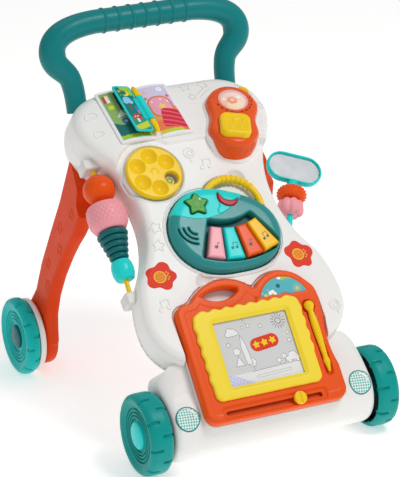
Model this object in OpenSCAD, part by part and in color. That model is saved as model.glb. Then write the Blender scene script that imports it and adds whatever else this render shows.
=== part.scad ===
// Baby walker: a sit-to-stand push walker with an activity deck, drawing board and four wheels.
// +Z is up, the nose points along -Y and the origin lies on the floor below the middle of the toy.

/* [Stance] */
// Distance between the front and the rear axles
wheel_base = 327; // [320:1:335]
// Radius of all four wheels
wheel_r = 50; // [48:0.5:52]
// Angle of the activity deck above the floor
deck_slope = 42; // [41:0.5:43]
// Outer face of the front wheels, from the middle
front_wheel_x = 167; // [166:0.5:170]
// Outer face of the rear wheels, from the middle
rear_wheel_x = 189; // [188:0.5:192]

/* [Body] */
// Half width of the belly
belly_half = 132; // [130:0.5:133]
// Half width of the waist
waist_half = 88.7; // [88:0.1:89.5]
// Half width of the shoulders
shoulder_half = 128.5; // [127:0.5:130]
// Wall thickness of the large mouldings
wall = 2.5; // [2:0.1:3]
// Height of the parting line between front and back shells, above the axle line
split_n = 62; // [60:1:64]

/* [Handle] */
// Height of the grip's middle above the shell
grip_h = 97; // [94:1:100]
// Radius of the grip tube
grip_r = 15; // [14:0.5:15.5]
// Number of ribs on the grip
grip_ribs = 7; // [5:1:9]

/* [Toys] */
// Radius of the yellow dial
dial_r = 35.5; // [34:0.5:36]
// Number of finger dimples in the dial
dial_dimples = 6; // [5:1:7]
// Radius of the ball on the bead rod
ball_r = 20; // [19:0.5:20]
// Travel of the music keys
key_travel = 2; // [1.5:0.1:2.2]

/* [Hidden] */
$fn = 64;

orange = "#e8551f";
teal = "#12938f";
deep_teal = "#1d7a78";
aqua = "#2fd6d0";
yellow = "#f9cf1d";
pink = "#f4a2ae";
white = "#f6f5f3";
steel = "#b9bcc0";

gap = 0.3;          // clearance between mouldings of different bodies
run = 0.05;         // radial running clearance on pins and axles
eps = 0.01;
far = 400;          // longer than any part, for half-space cuts

// Body outline, in the deck's own plane: x across, u up the slope
belly_u = 143;      // widest line of the belly
belly_arc = 150;
chin_r = 62;        // lower corners of the belly
shoulder_u = 417;   // centre line of the shoulders' top corners
shoulder_r = 55;
waist_u = 290;
waist_r = 140;
body_top_u = shoulder_u + shoulder_r;
chin_u = belly_u - chin_r;
crown_n = 107;      // deck height at the middle, above the axle line
crown_r = 1060;     // radius of the deck's crossways crown
belly_back_n = 50;
shoulder_back_n = 24;
ledge_u = 352;      // foot of the shoulder panel
ledge_n = 117;
shoulder_drop = 18.3;
arch_u = 369;       // ledge height over the middle

// Axles
axle_r = 3;
front_inner_x = front_wheel_x - 29.7;
rear_inner_x = rear_wheel_x - 18.8;
leg_face_x = 160;
leg_t = 18;
head_t = 24;         // the leg is thicker where its tongue stands
foot_r = 41;

// Handle, in its own plane that leans back
handle_lean = 15;
handle_y = 308;
handle_z = 361;
handle_foot_x = 103.7;
elbow_x = 127.5;    // outermost point of the centre line
foot_tube_r = 13;
foot_in = 22;       // depth of each foot inside the shell
neck = [107, 28];
rib_pitch = 18.5;

// Deck toys, as [x, u]
dial_at = [-58, 335];
dial_floor_n = 101;
panel_at = [[-11, 244, 57], [8, 240, 53], [27, 236, 48]];   // the lobes: x, u, radius
panel_floor_n = 88;
panel_top_n = 119;
ring_floor_n = 100;
finger_notches = [[46, 310, 116], [-44, 182, 117]];
notch_r = 16;
fan_at = [12, 314];                             // where the keys' centre lines meet
key_angles = [-18, -5.2, 7.6, 20.4];
key_r0 = 73;
key_r1 = 115;
key_w0 = 13.5;
key_w1 = 22.5;
circuit_n = 102.6;
circuit_t = 1.4;
key_floor_n = circuit_n + circuit_t + key_travel + 0.5;
key_top_n = 120.5;
star_at = [-25, 278];
crescent_at = [18.5, 281];
speaker_at = [-40, 240];
speaker_arcs_at = [-36, 249];
ring_at = [26, 273];
ring_r = 36.5;

// Drawing board, on its own plane over the belly and the bumper
board_u = 90;
board_n = 107;
board_tip = 6.8;
board_t = 14;
board_lip = 1.5;
board_back_t = 4;
window = [-59, 43, -48, 37];
bezel_rect = [-80, 61, -60, 50];
pen_x = 74;
slot_s = -75;
knob_x = 24;
knob_r = 8;
knob_h = 4;

// Shoulder toys, as [x, s] on the shoulder panel
spine_x = -36;
book = [-86, 12, 29, 122];
phone_lens_at = [78, 61];
phone_key_at = [59, 14];
phone_h = 15;
phone_turn = -20;

// Side toys, in deck coordinates [x, u, n]
rod_top = [-119, 372, 76];
rod_foot = [-126.5, 196, 71];
rod_r = 3;
post_foot = [103, 240, 76];
post_turn = -25;
post_r = 4;

// ---------- frames ----------
// How far a point s up and t above the drawing board's plane lies behind the front axle
function board_y(s, t) = (board_u + s * cos(board_tip) - t * sin(board_tip)) * cos(deck_slope)
    - (board_n + s * sin(board_tip) + t * cos(board_tip)) * sin(deck_slope);
nose_reach = -board_y(slot_s - knob_r, knob_h);
// The origin is midway between the nose and the back of the rear wheels
module axle_frame() translate([0, (nose_reach - wheel_base - wheel_r) / 2, 0]) children();
module deck() axle_frame() rotate([deck_slope, 0, 0]) children();
module shoulder() deck() translate([0, ledge_u, ledge_n]) rotate([-shoulder_drop, 0, 0]) children();
module board() deck() translate([0, board_u, board_n]) rotate([board_tip, 0, 0]) children();
module handle_plane() axle_frame() translate([0, handle_y, handle_z]) rotate([90 - handle_lean, 0, 0])
    children();
module post() deck() translate(post_foot) rotate([0, 0, post_turn]) rotate([-90, 0, 0]) children();
module both_sides() { children(); mirror([1, 0, 0]) children(); }

// A cylinder from a to b
module link(a, b, r) {
    d = b - a;
    len = norm(d);
    translate(a) rotate([0, acos(d[2] / len), atan2(d[1], d[0])]) cylinder(r = r, h = len);
}
// A side view in y and z, pushed out along x from x0 to x1
module side_slab(x0, x1) translate([x0, 0, 0]) rotate([90, 0, 90]) linear_extrude(x1 - x0) children();
module slab(n0, n1) translate([0, 0, n0]) linear_extrude(n1 - n0) children();
module round_rect(x0, x1, y0, y1, r) {
    translate([x0 + r, y0]) square([x1 - x0 - 2 * r, y1 - y0]);
    translate([x0, y0 + r]) square([x1 - x0, y1 - y0 - 2 * r]);
    for (x = [x0 + r, x1 - r], y = [y0 + r, y1 - r]) translate([x, y]) circle(r);
}

// ---------- shells ----------
// Figure-of-eight outline of the deck, drawn in by i
module body_outline(i) difference() {
    union() {
        intersection() {
            translate([belly_half - belly_arc, belly_u]) circle(belly_arc - i);
            translate([belly_arc - belly_half, belly_u]) circle(belly_arc - i);
            translate([-far, belly_u - eps]) square([2 * far, waist_u - belly_u]);
        }
        for (s = [-1, 1]) translate([s * (belly_half - chin_r), belly_u])
            circle(chin_r + 0.2 - i);
        translate([chin_r - belly_half, chin_u + i]) square([2 * (belly_half - chin_r), chin_r]);
        translate([-105, 200]) square([210, 170]);
        translate([-shoulder_half + i, 355]) square([2 * (shoulder_half - i), shoulder_u - 355]);
        for (s = [-1, 1]) translate([s * (shoulder_half - shoulder_r), shoulder_u]) circle(shoulder_r - i);
        translate([shoulder_r - shoulder_half, 355])
            square([2 * (shoulder_half - shoulder_r), body_top_u - i - 355]);
    }
    for (s = [-1, 1]) translate([s * (waist_half + waist_r), waist_u]) circle(waist_r + i);
}
// The raised shoulder panel stops above the dial and the waist
module shoulder_outline(i) difference() {
    intersection() {
        body_outline(i);
        translate([-far, ledge_u - 2 + i]) square([2 * far, far]);
    }
    translate(dial_at) circle(dial_r + 9 + i);
    translate([dial_at[0], 200]) square([130 + i, arch_u - 200 + i]);
}
// Height of the shoulder panel's plane at u
function shoulder_n(u) = ledge_n - tan(shoulder_drop) * (u - ledge_u);
module back_side(i, top) polygon([[chin_u - 5, belly_back_n + i], [300, belly_back_n + i],
    [360, shoulder_back_n + i], [body_top_u + 5, shoulder_back_n + i], [body_top_u + 5, top],
    [chin_u - 5, top]]);
module front_block(i) {
    intersection() {
        slab(split_n, 130) body_outline(i);
        translate([0, 0, crown_n - crown_r]) rotate([-90, 0, 0]) cylinder(r = crown_r - i, h = far + 100);
        side_slab(-far, far) polygon([[0, 0], [0, 140], [ledge_u, 140], [ledge_u, ledge_n - i],
            [body_top_u + 10, shoulder_n(body_top_u + 10) - i], [body_top_u + 10, 0]]);
    }
    intersection() {
        slab(split_n, 130) shoulder_outline(i);
        side_slab(-far, far) polygon([[ledge_u - 10, 60], [ledge_u - 10, 100 - i],
            [ledge_u + 5, ledge_n - i - 1.7], [body_top_u + 5, shoulder_n(body_top_u + 5) - i],
            [body_top_u + 5, 60]]);
    }
}
module back_block(i) intersection() {
    slab(0, split_n) body_outline(i);
    side_slab(-far, far) back_side(i, far);
}

screw_spots = [for (x = [-1, 1]) each [[x * 100, 175], [x * 72, 262], [x * 78, 350], [x * 60, 448]]];
module handle_sockets() handle_plane() both_sides() translate([handle_foot_x, -foot_in - 1, 0])
    rotate([-90, 0, 0]) cylinder(r = foot_tube_r + gap, h = foot_in + 14);

module front_tubs() {
    deck() slab(dial_floor_n - wall, 112) translate(dial_at) circle(dial_r + 2 + wall);
    deck() slab(panel_floor_n - wall, 112) panel_outline(-2 - wall);
    deck() slab(ring_floor_n - wall, 112) ring_outline(ring_r + 6 + wall);
    deck() for (p = finger_notches) translate(p) rotate([90, 0, 0]) sphere(notch_r + wall);
    board() slab(-board_t - board_back_t - gap - wall, 10) board_outline(-5);
}
module front_pockets() {
    deck() slab(dial_floor_n, 130) translate(dial_at) circle(dial_r + 2);
    deck() slab(panel_floor_n, 130) panel_outline(-2);
    deck() slab(ring_floor_n, 130) ring_outline(ring_r + 6);
    board() slab(-board_t - board_back_t - gap, 40) board_outline(-3);
    deck() for (p = finger_notches) translate(p) rotate([90, 0, 0]) sphere(notch_r);
}
module front_shell() color(white) difference() {
    union() {
        deck() front_block(0);
        rod_brackets();
    }
    difference() {
        deck() front_block(wall);
        front_tubs();
        deck() for (p = screw_spots) slab(split_n, 104) translate(p) circle(4.5);
    }
    deck() slab(split_n - 1, split_n + 1) body_outline(wall);
    front_pockets();
    deck() for (p = screw_spots) slab(split_n - 1, 84) translate(p) circle(1.5);
    deck() link(rod_foot, rod_top, rod_r);
    post() translate([0, 0, -12]) cylinder(r = post_r, h = 40);
    handle_sockets();
}
module rod_brackets() deck() difference() {
    union() {
        translate([-137, 182, split_n]) cube([30, 16, 21]);
        translate([-133, 366, split_n]) cube([30, 14, 24]);
        translate([post_foot[0] - 18, post_foot[1] - 14, split_n]) cube([24, 18, 24]);
    }
    front_block(1);
}
module back_shell() color(white) difference() {
    deck() back_block(0);
    deck() difference() {
        back_block(wall);
        for (p = screw_spots) slab(0, split_n + 1) translate(p) circle(5.5);
    }
    deck() slab(split_n - 1, split_n + 1) difference() {
        body_outline(wall);
        for (p = screw_spots) translate(p) circle(5.5);
    }
    deck() for (p = screw_spots) {
        slab(0, split_n + 1) translate(p) circle(1.5 + run);
        slab(0, split_n - 4) translate(p) circle(3.4);
    }
    handle_sockets();
    both_sides() leg_tongue(gap / 2);
}

// ---------- bumper, legs, handle ----------
module bumper_side(i) {
    translate([-8, 52]) circle(39 - i);
    polygon([[-44 + i, 68], [14, 135 - 1.4 * i], [44, 104], [44, 30 + i], [-8, 13 + i]]);
}
module bumper() color(white) difference() {
    axle_frame() union() {
        side_slab(-126, 126) bumper_side(0);
        rotate([0, 90, 0]) translate([-wheel_r, 0, -136.5]) cylinder(r = 21, h = 273);
    }
    axle_frame() difference() {
        side_slab(-126 + wall, 126 - wall) union() {
            bumper_side(wall);
            translate([20, 33]) square([40, 66]);
        }
        rotate([0, 90, 0]) for (x = [-125, 119]) translate([-wheel_r, 0, x]) cylinder(r = 9, h = 6);
    }
    deck() front_block(-gap / 2);
    deck() back_block(-gap / 2);
    board() slab(-board_t - board_back_t - gap, 40) board_outline(-3);
    axle_frame() translate([0, 0, wheel_r]) rotate([0, 90, 0])
        cylinder(r = axle_r, h = far, center = true);
}
// Centre line of the right half of the handle: two bends, then the straight grip
function bezier(a, b, c, d, t) = pow(1 - t, 3) * a + 3 * t * pow(1 - t, 2) * b
    + 3 * t * t * (1 - t) * c + t * t * t * d;
function foot_bend(t) = bezier([handle_foot_x, 0], [handle_foot_x, 14], [104, 18], neck, t);
function neck_bend(t) = bezier(neck, [112, 44], [elbow_x, grip_h - 52], [elbow_x, grip_h - 33], t);
function elbow_bend(t) = bezier([elbow_x, grip_h - 33], [elbow_x, grip_h - 13],
    [elbow_x - 21, grip_h - 2], [elbow_x - 62, grip_h], t);
rib_edge = [[-2.2, 0], [-1.2, 1.4], [1.2, 1.4], [2.2, 0]];
// Each entry is [point, tube radius], from the right foot to the middle of the grip and on
half_line = [
    [[handle_foot_x, -foot_in], foot_tube_r],
    for (t = [0:0.33:0.8]) [foot_bend(t), foot_tube_r + t],
    for (t = [0:0.14:0.9]) [neck_bend(t), foot_tube_r + 1 + 3 * t],
    for (t = [0:0.125:1]) [elbow_bend(t), foot_tube_r + 4 - (4 + foot_tube_r - grip_r) * t]];
rib_line = [for (k = [grip_ribs - 1:-1:0], e = [3:-1:0])
    [[(k - (grip_ribs - 1) / 2) * rib_pitch + rib_edge[e][0], grip_h], grip_r + rib_edge[e][1]]];
handle_line = [each half_line, each rib_line,
    for (k = [len(half_line) - 1:-1:0]) [[-half_line[k][0][0], half_line[k][0][1]], half_line[k][1]]];
tube_sides = 16;
// One ring of the tube, square to the line on either side of it
function ring_points(k, inset) = let (p = handle_line[k], last = len(handle_line) - 1,
    d = handle_line[min(k + 1, last)][0] - handle_line[max(k - 1, 0)][0], side = [d[1], -d[0]] / norm(d))
    [for (j = [0:tube_sides - 1]) let (a = j * 360 / tube_sides, r = p[1] - inset)
        [p[0][0] + side[0] * r * cos(a), p[0][1] + side[1] * r * cos(a), r * sin(a)]];
function next_side(j) = (j + 1) % tube_sides;
// Faces of an open pipe: outer skin, inner skin and the two flat ends
function pipe_faces(m, last, base) = [
    for (k = [0:last - 1], j = [0:m - 1]) each [
        [k * m + j, k * m + next_side(j), (k + 1) * m + next_side(j)],
        [k * m + j, (k + 1) * m + next_side(j), (k + 1) * m + j],
        [base + k * m + j, base + (k + 1) * m + next_side(j), base + k * m + next_side(j)],
        [base + k * m + j, base + (k + 1) * m + j, base + (k + 1) * m + next_side(j)]],
    for (j = [0:m - 1]) each [
        [j, base + j, base + next_side(j)],
        [j, base + next_side(j), next_side(j)],
        [last * m + j, last * m + next_side(j), base + last * m + next_side(j)],
        [last * m + j, base + last * m + next_side(j), base + last * m + j]]];
module handle() color(deep_teal) handle_plane() polyhedron(
    points = [for (inset = [0, wall], k = [0:len(handle_line) - 1]) each ring_points(k, inset)],
    faces = pipe_faces(tube_sides, len(handle_line) - 1, len(handle_line) * tube_sides), convexity = 6);
// Front view of the right leg: a band that splays outwards and then drops straight to the foot
module leg_band() polygon([[leg_face_x, 0], [leg_face_x, 90], [151, 147], [143, 196], [136, 243],
    [127, 300], [127, 330], [127 - head_t, 330], [127 - head_t, 300], [136 - head_t, 243],
    [143 - leg_t, 196], [151 - leg_t, 147], [leg_face_x - leg_t, 90], [leg_face_x - leg_t, 0]]);
module leg_side() {
    translate([wheel_base, wheel_r]) circle(foot_r);
    polygon([[286, 50], [285, 88], [284, 114], [276, 142], [261, 174], [240, 209], [226, 244],
        [222, 278], [224, 330], [280, 330], [283, 294], [295, 241], [311, 196], [325, 150],
        [331, 112], [352, 80]]);
}
module leg_tongue(i) deck() translate([104 - i, 370 - i, 10]) cube([10 + 2 * i, 25 + 2 * i, 44 + i]);
module leg() color(orange) difference() {
    union() {
        difference() {
            axle_frame() intersection() {
                side_slab(90, 170) leg_side();
                translate([0, 400, 0]) rotate([90, 0, 0]) linear_extrude(300) leg_band();
            }
            deck() slab(shoulder_back_n - gap / 2, 200) translate([-far, -far]) square(4 * far);
        }
        leg_tongue(0);
    }
    axle_frame() translate([0, wheel_base, wheel_r]) rotate([0, 90, 0])
        cylinder(r = axle_r, h = far, center = true);
}
module leg_right() leg();
module leg_left() mirror([1, 0, 0]) leg();

module screws() color(steel) {
    deck() for (p = screw_spots) {
        slab(split_n - 6, 80) translate(p) circle(1.5);
        slab(split_n - 6, split_n - 4) translate(p) circle(3);
    }
}
module axles() color(steel) axle_frame() {
    translate([0, 0, wheel_r]) rotate([0, 90, 0])
        cylinder(r = axle_r, h = 2 * front_wheel_x - 9, center = true);
    both_sides() translate([leg_face_x - leg_t - 2, wheel_base, wheel_r]) rotate([0, 90, 0]) {
        cylinder(r = axle_r, h = rear_wheel_x - leg_face_x + leg_t - 2);
        translate([0, 0, -1]) cylinder(r = 5, h = 3);
    }
}

// ---------- wheels ----------
// Half section of a tyre of width w: rounded shoulders, hollow inside, dished outside
module tyre_section(w, web, dish) difference() {
    union() {
        square([wheel_r - 5, w]);
        translate([0, 5]) square([wheel_r, w - 10]);
        for (y = [5, w - 5]) translate([wheel_r - 5, y]) circle(5);
    }
    translate([-10, -10]) square([10 + axle_r + run, w + 20]);
    translate([13, -1]) square([wheel_r - 19, w - web - dish + 1]);
    translate([-1, w - dish]) square([35, dish + 1]);
    for (r = [26, 30]) translate([r, w - dish - 0.8]) square([1.6, 2]);
}
module tread(w) for (k = [0:17]) rotate([0, 0, k * 20])
    translate([wheel_r - 1.3, -1.5, k % 2 == 0 ? -1 : w / 2]) cube([3, 3, w / 2 + 1]);
module wheel(x0, w, web, dish) translate([x0, 0, wheel_r]) rotate([0, 90, 0]) difference() {
    rotate_extrude($fn = 96) tyre_section(w, web, dish);
    tread(w);
}
module cap(x0, r, h) translate([x0, 0, wheel_r]) rotate([0, 90, 0]) difference() {
    union() {
        cylinder(r = r, h = h * 0.45);
        intersection() {
            translate([0, 0, h - r * 1.6]) sphere(r * 1.6);
            cylinder(r = r - 1, h = h);
        }
    }
    translate([0, 0, -1]) cylinder(r = axle_r + 0.4, h = h - 1.2);
}
module front_wheel() color(teal) axle_frame() wheel(front_inner_x, 29.7, 3, 6);
module front_cap() color(aqua) axle_frame() cap(front_wheel_x - 6, 17, 7);
module rear_wheel() color(aqua) axle_frame() translate([0, wheel_base, 0]) wheel(rear_inner_x, 18.8, 3, 5);
module rear_cap() color(deep_teal) axle_frame() translate([0, wheel_base, 0]) cap(rear_wheel_x - 5, 15, 5);
module rear_disc() color(white) axle_frame() translate([leg_face_x + 1, wheel_base, wheel_r])
    rotate([0, 90, 0]) difference() {
        cylinder(r = wheel_r - 3, h = rear_inner_x - leg_face_x - 1);
        translate([0, 0, 2.5]) cylinder(r = wheel_r - 6, h = 20);
        translate([0, 0, -1]) cylinder(r = axle_r + 0.4, h = 20);
    }
module front_wheel_right() front_wheel();
module front_wheel_left() mirror([1, 0, 0]) front_wheel();
module rear_wheel_right() rear_wheel();
module rear_wheel_left() mirror([1, 0, 0]) rear_wheel();
module front_cap_right() front_cap();
module front_cap_left() mirror([1, 0, 0]) front_cap();
module rear_cap_right() rear_cap();
module rear_cap_left() mirror([1, 0, 0]) rear_cap();
module rear_disc_right() rear_disc();
module rear_disc_left() mirror([1, 0, 0]) rear_disc();

// ---------- book ----------
page_rest = 12;
page_w = 31;
spine_h = 9;
module book_base() color(white) shoulder() {
    slab(0, 3) round_rect(book[0], book[1], book[2], book[3], 4);
    slab(3, 4.5) for (x = [[book[0] + 2, spine_x - 5], [spine_x + 5, book[1] - 2]])
        round_rect(x[0], x[1], book[2] + 2, book[3] - 2, 3);
    for (s = [book[2] + 12, book[3] - 12]) translate([spine_x, s, 3]) cylinder(r = 3, h = 1);
}
module book_spine() color(yellow) shoulder() translate([spine_x, 0, spine_h]) rotate([-90, 0, 0]) {
    translate([0, 0, book[2] + 4]) cylinder(r1 = 1.5, r2 = 4.6, h = 21);
    translate([0, 0, book[3] - 25]) cylinder(r1 = 4.6, r2 = 1.5, h = 21);
    translate([0, 0, book[2] + 20]) cylinder(r = 1.5, h = book[3] - book[2] - 40);
    for (s = [book[2] + 12, book[3] - 12]) translate([0, spine_h - 4, s]) rotate([-90, 0, 0])
        translate([0, 0, -4]) cylinder(r = 2.4, h = 4);
}
module book_page() color(aqua) shoulder() translate([spine_x, 0, spine_h]) difference() {
    union() {
        rotate([-90, 0, 0]) translate([0, 0, book[2] + 25.3])
            cylinder(r = 5, h = book[3] - book[2] - 50.6);
        rotate([0, page_rest, 0]) {
            translate([-page_w, book[2] + 4, -1.2]) cube([page_w - 5.4, book[3] - book[2] - 8, 2.6]);
            translate([-10, book[2] + 27, -1.2]) cube([8, book[3] - book[2] - 54, 2.6]);
        }
    }
    rotate([-90, 0, 0]) cylinder(r = 1.5 + run, h = far);
}

// ---------- phone ----------
module phone_outline(i) {
    translate(phone_lens_at) circle(32 - i);
    translate(phone_key_at) circle(30 - i);
    translate((phone_lens_at + phone_key_at) / 2) rotate(phone_turn)
        translate([-26 + i, -25]) square([52 - 2 * i, 50]);
}
module phone_key_shape(i) translate(phone_key_at) rotate(phone_turn)
    round_rect(-19 + i, 19 - i, -19 + i, 19 - i, 10);
module phone_base() color(white) difference() {
    shoulder() slab(-24, 2) difference() { phone_outline(-3); phone_outline(3); }
    deck() side_slab(-far, far) polygon([[200, 0], [200, crown_n + run], [ledge_u - 3, crown_n + run],
        [ledge_u - 3, ledge_n - 5], [ledge_u + 2, shoulder_n(ledge_u + 2) + run],
        [body_top_u + 40, shoulder_n(body_top_u + 40) + run], [body_top_u + 40, 0]]);
}
module phone_body() color(orange) shoulder() difference() {
    slab(2, phone_h) phone_outline(0);
    slab(-1, phone_h - 2.2) phone_outline(2.2);
    slab(0, 40) phone_key_shape(-0.4);
    slab(phone_h - 1, 40) translate(phone_lens_at) circle(19.5);
}
module phone_lens() color([0.9, 0.95, 1, 0.4]) shoulder() translate([each phone_lens_at, phone_h - 1])
    difference() {
        intersection() {
            translate([0, 0, 6 - 36]) sphere(36);
            cylinder(r = 19.5, h = 8);
        }
        intersection() {
            translate([0, 0, 6 - 36]) sphere(34.5);
            cylinder(r = 17, h = 8);
        }
    }
module phone_button() color(yellow) shoulder() {
    slab(5, phone_h + 8) phone_key_shape(0);
    slab(phone_h - 8, phone_h - 5.5) phone_key_shape(-2.5);
}
module phone_antenna() color(yellow) shoulder() difference() {
    slab(run, 11) translate([104, 84]) circle(8);
    slab(-1, 20) phone_outline(-3 - gap);
}

// ---------- dial ----------
module dial() color(yellow) deck() translate([each dial_at, 0]) difference() {
    translate([0, 0, dial_floor_n + 2.3]) {
        cylinder(r = dial_r, h = 6);
        cylinder(r = dial_r - 1.5, h = 7.5);
    }
    for (k = [1:dial_dimples - 1]) rotate(k * 360 / dial_dimples - 30)
        translate([21.5, 0, dial_floor_n + 20]) sphere(13.5);
    rotate(-30) translate([21.5, 0, 0]) cylinder(r = 8, h = 200);
    cylinder(r = 3 + run, h = dial_floor_n + 8.4);
}
module dial_pin() color(white) deck() translate([each dial_at, dial_floor_n + 0.6]) {
    cylinder(r = 3, h = 7.3);
    cylinder(r = 6, h = 1.4);
}
module dial_picture() color("#bfe3ff") deck() translate([each dial_at, dial_floor_n])
    cylinder(r = dial_r, h = 0.6);

// ---------- music panel ----------
module panel_outline(i) for (c = panel_at) translate([c[0], c[1]]) circle(c[2] - i);
module ring_outline(r) intersection() {
    translate(ring_at) circle(r);
    translate([-20, 250]) square(200);
}
module fan(a) translate(fan_at) rotate(a) children();
module key_shape(i) polygon([[-key_w0 / 2 + i, -key_r0 - i], [key_w0 / 2 - i, -key_r0 - i],
    [key_w1 / 2 - i, -key_r1 + i], [-key_w1 / 2 + i, -key_r1 + i]]);
module crescent_shape(i) translate(crescent_at) rotate(-28) difference() {
    circle(13 - i);
    translate([0, 8]) circle(15.3 + i);
}
module star_shape(r) translate(star_at)
    polygon([for (k = [0:9]) (k % 2 == 0 ? r : r * 0.52) * [sin(k * 36 + 8), cos(k * 36 + 8)]]);
module panel_housing() color(deep_teal) deck() difference() {
    slab(panel_floor_n + gap + 3, panel_top_n) panel_outline(0);
    slab(panel_floor_n, panel_top_n - 2.4) panel_outline(2.2);
    for (a = key_angles) slab(0, 200) fan(a) key_shape(-0.5);
    slab(0, 200) star_shape(14.5);
    slab(0, 200) crescent_shape(-0.5);
    for (r = [9.5, 16, 22.5]) slab(0, 200) translate(speaker_arcs_at) intersection() {
        difference() { circle(r + 1.2); circle(r - 1.2); }
        rotate(-8) translate([-30, -30]) square(30);
    }
}
module panel_back() color(white) deck() difference() {
    slab(panel_floor_n + gap, panel_floor_n + gap + 3) panel_outline(0);
    slab(0, 200) battery_shape(-0.3);
}
module battery_shape(i) round_rect(-30 + i, 30 - i, 208 + i, 264 - i, 4);
module battery_door() color(white) deck() slab(panel_floor_n + gap, panel_floor_n + gap + 2) battery_shape(0);
module panel_inset() color(aqua) deck() difference() {
    slab(panel_top_n, panel_top_n + 1.2) intersection() {
        panel_outline(3);
        translate([-16, 330]) circle(72);
    }
    slab(0, 200) star_shape(14.5);
    slab(0, 200) crescent_shape(-0.5);
}
module star_button() color("#4aa52e") deck() {
    slab(panel_top_n - 7, panel_top_n + 3.2) star_shape(13.8);
    slab(panel_top_n - 7, panel_top_n - 5.5) translate(star_at) circle(15.5);
}
module crescent_button() color("#c8282e") deck() slab(panel_top_n - 7, panel_top_n + 3) crescent_shape(0);
module key(k, tint) color(tint) deck() slab(key_floor_n, key_top_n) fan(key_angles[k]) key_shape(0);
module key_pink() key(0, pink);
module key_cyan() key(1, aqua);
module key_orange() key(2, orange);
module key_yellow() key(3, yellow);
module ring_handle() color(yellow) deck() difference() {
    translate([each ring_at, 110]) {
        rotate_extrude() translate([ring_r, 0]) circle(3.8);
        for (a = [34:10:94]) rotate(a) translate([ring_r, 0, 0]) rotate([90, 0, 0])
            cylinder(r = 4.6, h = 2.4, center = true);
    }
    slab(90, 130) panel_outline(-eps);
    slab(90, 130) translate([-60, 190]) square([200, 68]);
}
module circuit_board() color("#2f7d46") deck() slab(circuit_n, circuit_n + circuit_t) difference() {
    panel_outline(5);
    translate(speaker_at) circle(15);
}
module speaker() color("#3c3f45") deck() translate([each speaker_at, 106]) difference() {
    cylinder(r = 14, h = 9);
    translate([0, 0, 7]) cylinder(r = 12, h = 9);
}
module batteries() color("#d6b25a") deck() for (k = [-1:1])
    translate([k * 13, 213.5, panel_floor_n + gap + 8]) rotate([-90, 0, 0]) cylinder(r = 5.2, h = 44.5);

// ---------- drawing board ----------
module board_outline(i) difference() {
    union() {
        round_rect(-97 + i, 90 - i, -85 + i, 66 - i, 15);
        translate([46, 44]) circle(43 - i);
        translate([-30, 34]) circle(55 - i);
        translate([-30, 30]) square([76, 48 - i]);
    }
    translate([210, -12]) circle(124 + i);
}
module finger_slot() intersection() {
    translate([-32, 24]) circle(54);
    translate([-61, 62]) round_rect(0, 50, 0, 40, 5);
    translate([-34, 100]) circle(38);
}
module bezel_outline() {
    round_rect(bezel_rect[0], bezel_rect[1], bezel_rect[2], bezel_rect[3], 10);
    for (x = [bezel_rect[0] + 14:16.1:bezel_rect[1] - 12]) translate([x, bezel_rect[3] - 4]) circle(6.5);
}
module pen_groove(i) {
    translate([pen_x - 1, 34]) circle(8 - i);
    translate([pen_x - 5 + i, -50]) square([10 - 2 * i, 84]);
    translate([pen_x, -50]) circle(5 - i);
}
module window_shape(i) round_rect(window[0] + i, window[1] - i, window[2] + i, window[3] - i, 3);
module knob_slot() translate([-72, slot_s - 3]) square([128, 6]);
module board_case() color(orange) board() difference() {
    slab(-board_t, 0) board_outline(0);
    difference() {
        slab(-board_t - 1, -2.2) board_outline(2.2);
        slab(-9, 0) pen_groove(-3);
        slab(-board_t - 1, 0) finger_slot_wall();
    }
    slab(-7, 10) pen_groove(0);
    slab(-50, 50) window_shape(0);
    slab(-50, 50) knob_slot();
    slab(-50, 50) finger_slot();
}
module finger_slot_wall() translate([-63, 57]) square([60, 26]);
module board_back() color(white) board() difference() {
    slab(-board_t - board_back_t, -board_t) board_outline(-board_lip);
    slab(-50, 50) finger_slot();
}
module board_bezel() color(yellow) board() slab(0, 3) difference() {
    bezel_outline();
    window_shape(2);
}
module board_screen() color("#d9dadb") board() slab(-4.6, -2.4) window_shape(-2.5);
module pen() color(yellow) board() difference() {
    union() {
        translate([pen_x - 1, 34, 0]) sphere(6.5);
        link([pen_x - 1, 34, 0], [pen_x, -50, -2.5], 3);
        translate([pen_x, -50, -2.5]) sphere(3);
    }
    slab(-20, -6.4) square(far, center = true);
}
module slider() color(yellow) board() {
    slab(0.3, knob_h) translate([knob_x, slot_s]) circle(knob_r);
    slab(-7, 0.4) translate([knob_x - 2.6, slot_s - 2.6]) square(5.2);
    slab(-8.5, -6) translate([knob_x - 5, slot_s - 4]) square([10, 134]);
}

// ---------- side toys ----------
module bead_rod() color(yellow) deck() link(rod_foot, rod_top, rod_r);
// A frame on the rod: +Z runs down the rod from its top end
module rod_frame() {
    d = rod_foot - rod_top;
    deck() translate(rod_top) rotate([0, acos(d[2] / norm(d)), atan2(d[1], d[0])]) children();
}
module bead(z0) rod_frame() translate([0, 0, z0]) difference() {
    children();
    translate([0, 0, -60]) cylinder(r = rod_r + run, h = 120);
}
module bead_ball() color(orange) bead(32.6) sphere(ball_r);
module bead_barrel() color(pink) bead(53) {
    cylinder(r = 21.5, h = 37);
    translate([0, 0, 4]) cylinder(r = 25, h = 29);
}
module bead_cone() color(deep_teal) bead(91) for (k = [0:4])
    translate([0, 0, k * 7.4]) cylinder(r = 19.5 - 1.8 * k, h = k < 4 ? 7.4 + eps : 7.4);
module bead_drum() color(aqua) bead(129) {
    cylinder(r = 12, h = 26);
    translate([0, 0, 4]) cylinder(r = 14, h = 18);
}
module mirror_post() color(aqua) {
    post() translate([0, 0, -10]) cylinder(r = post_r, h = 83);
    post() translate([0, 0, 8]) cylinder(r = post_r + 3, h = 4);
}
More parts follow.
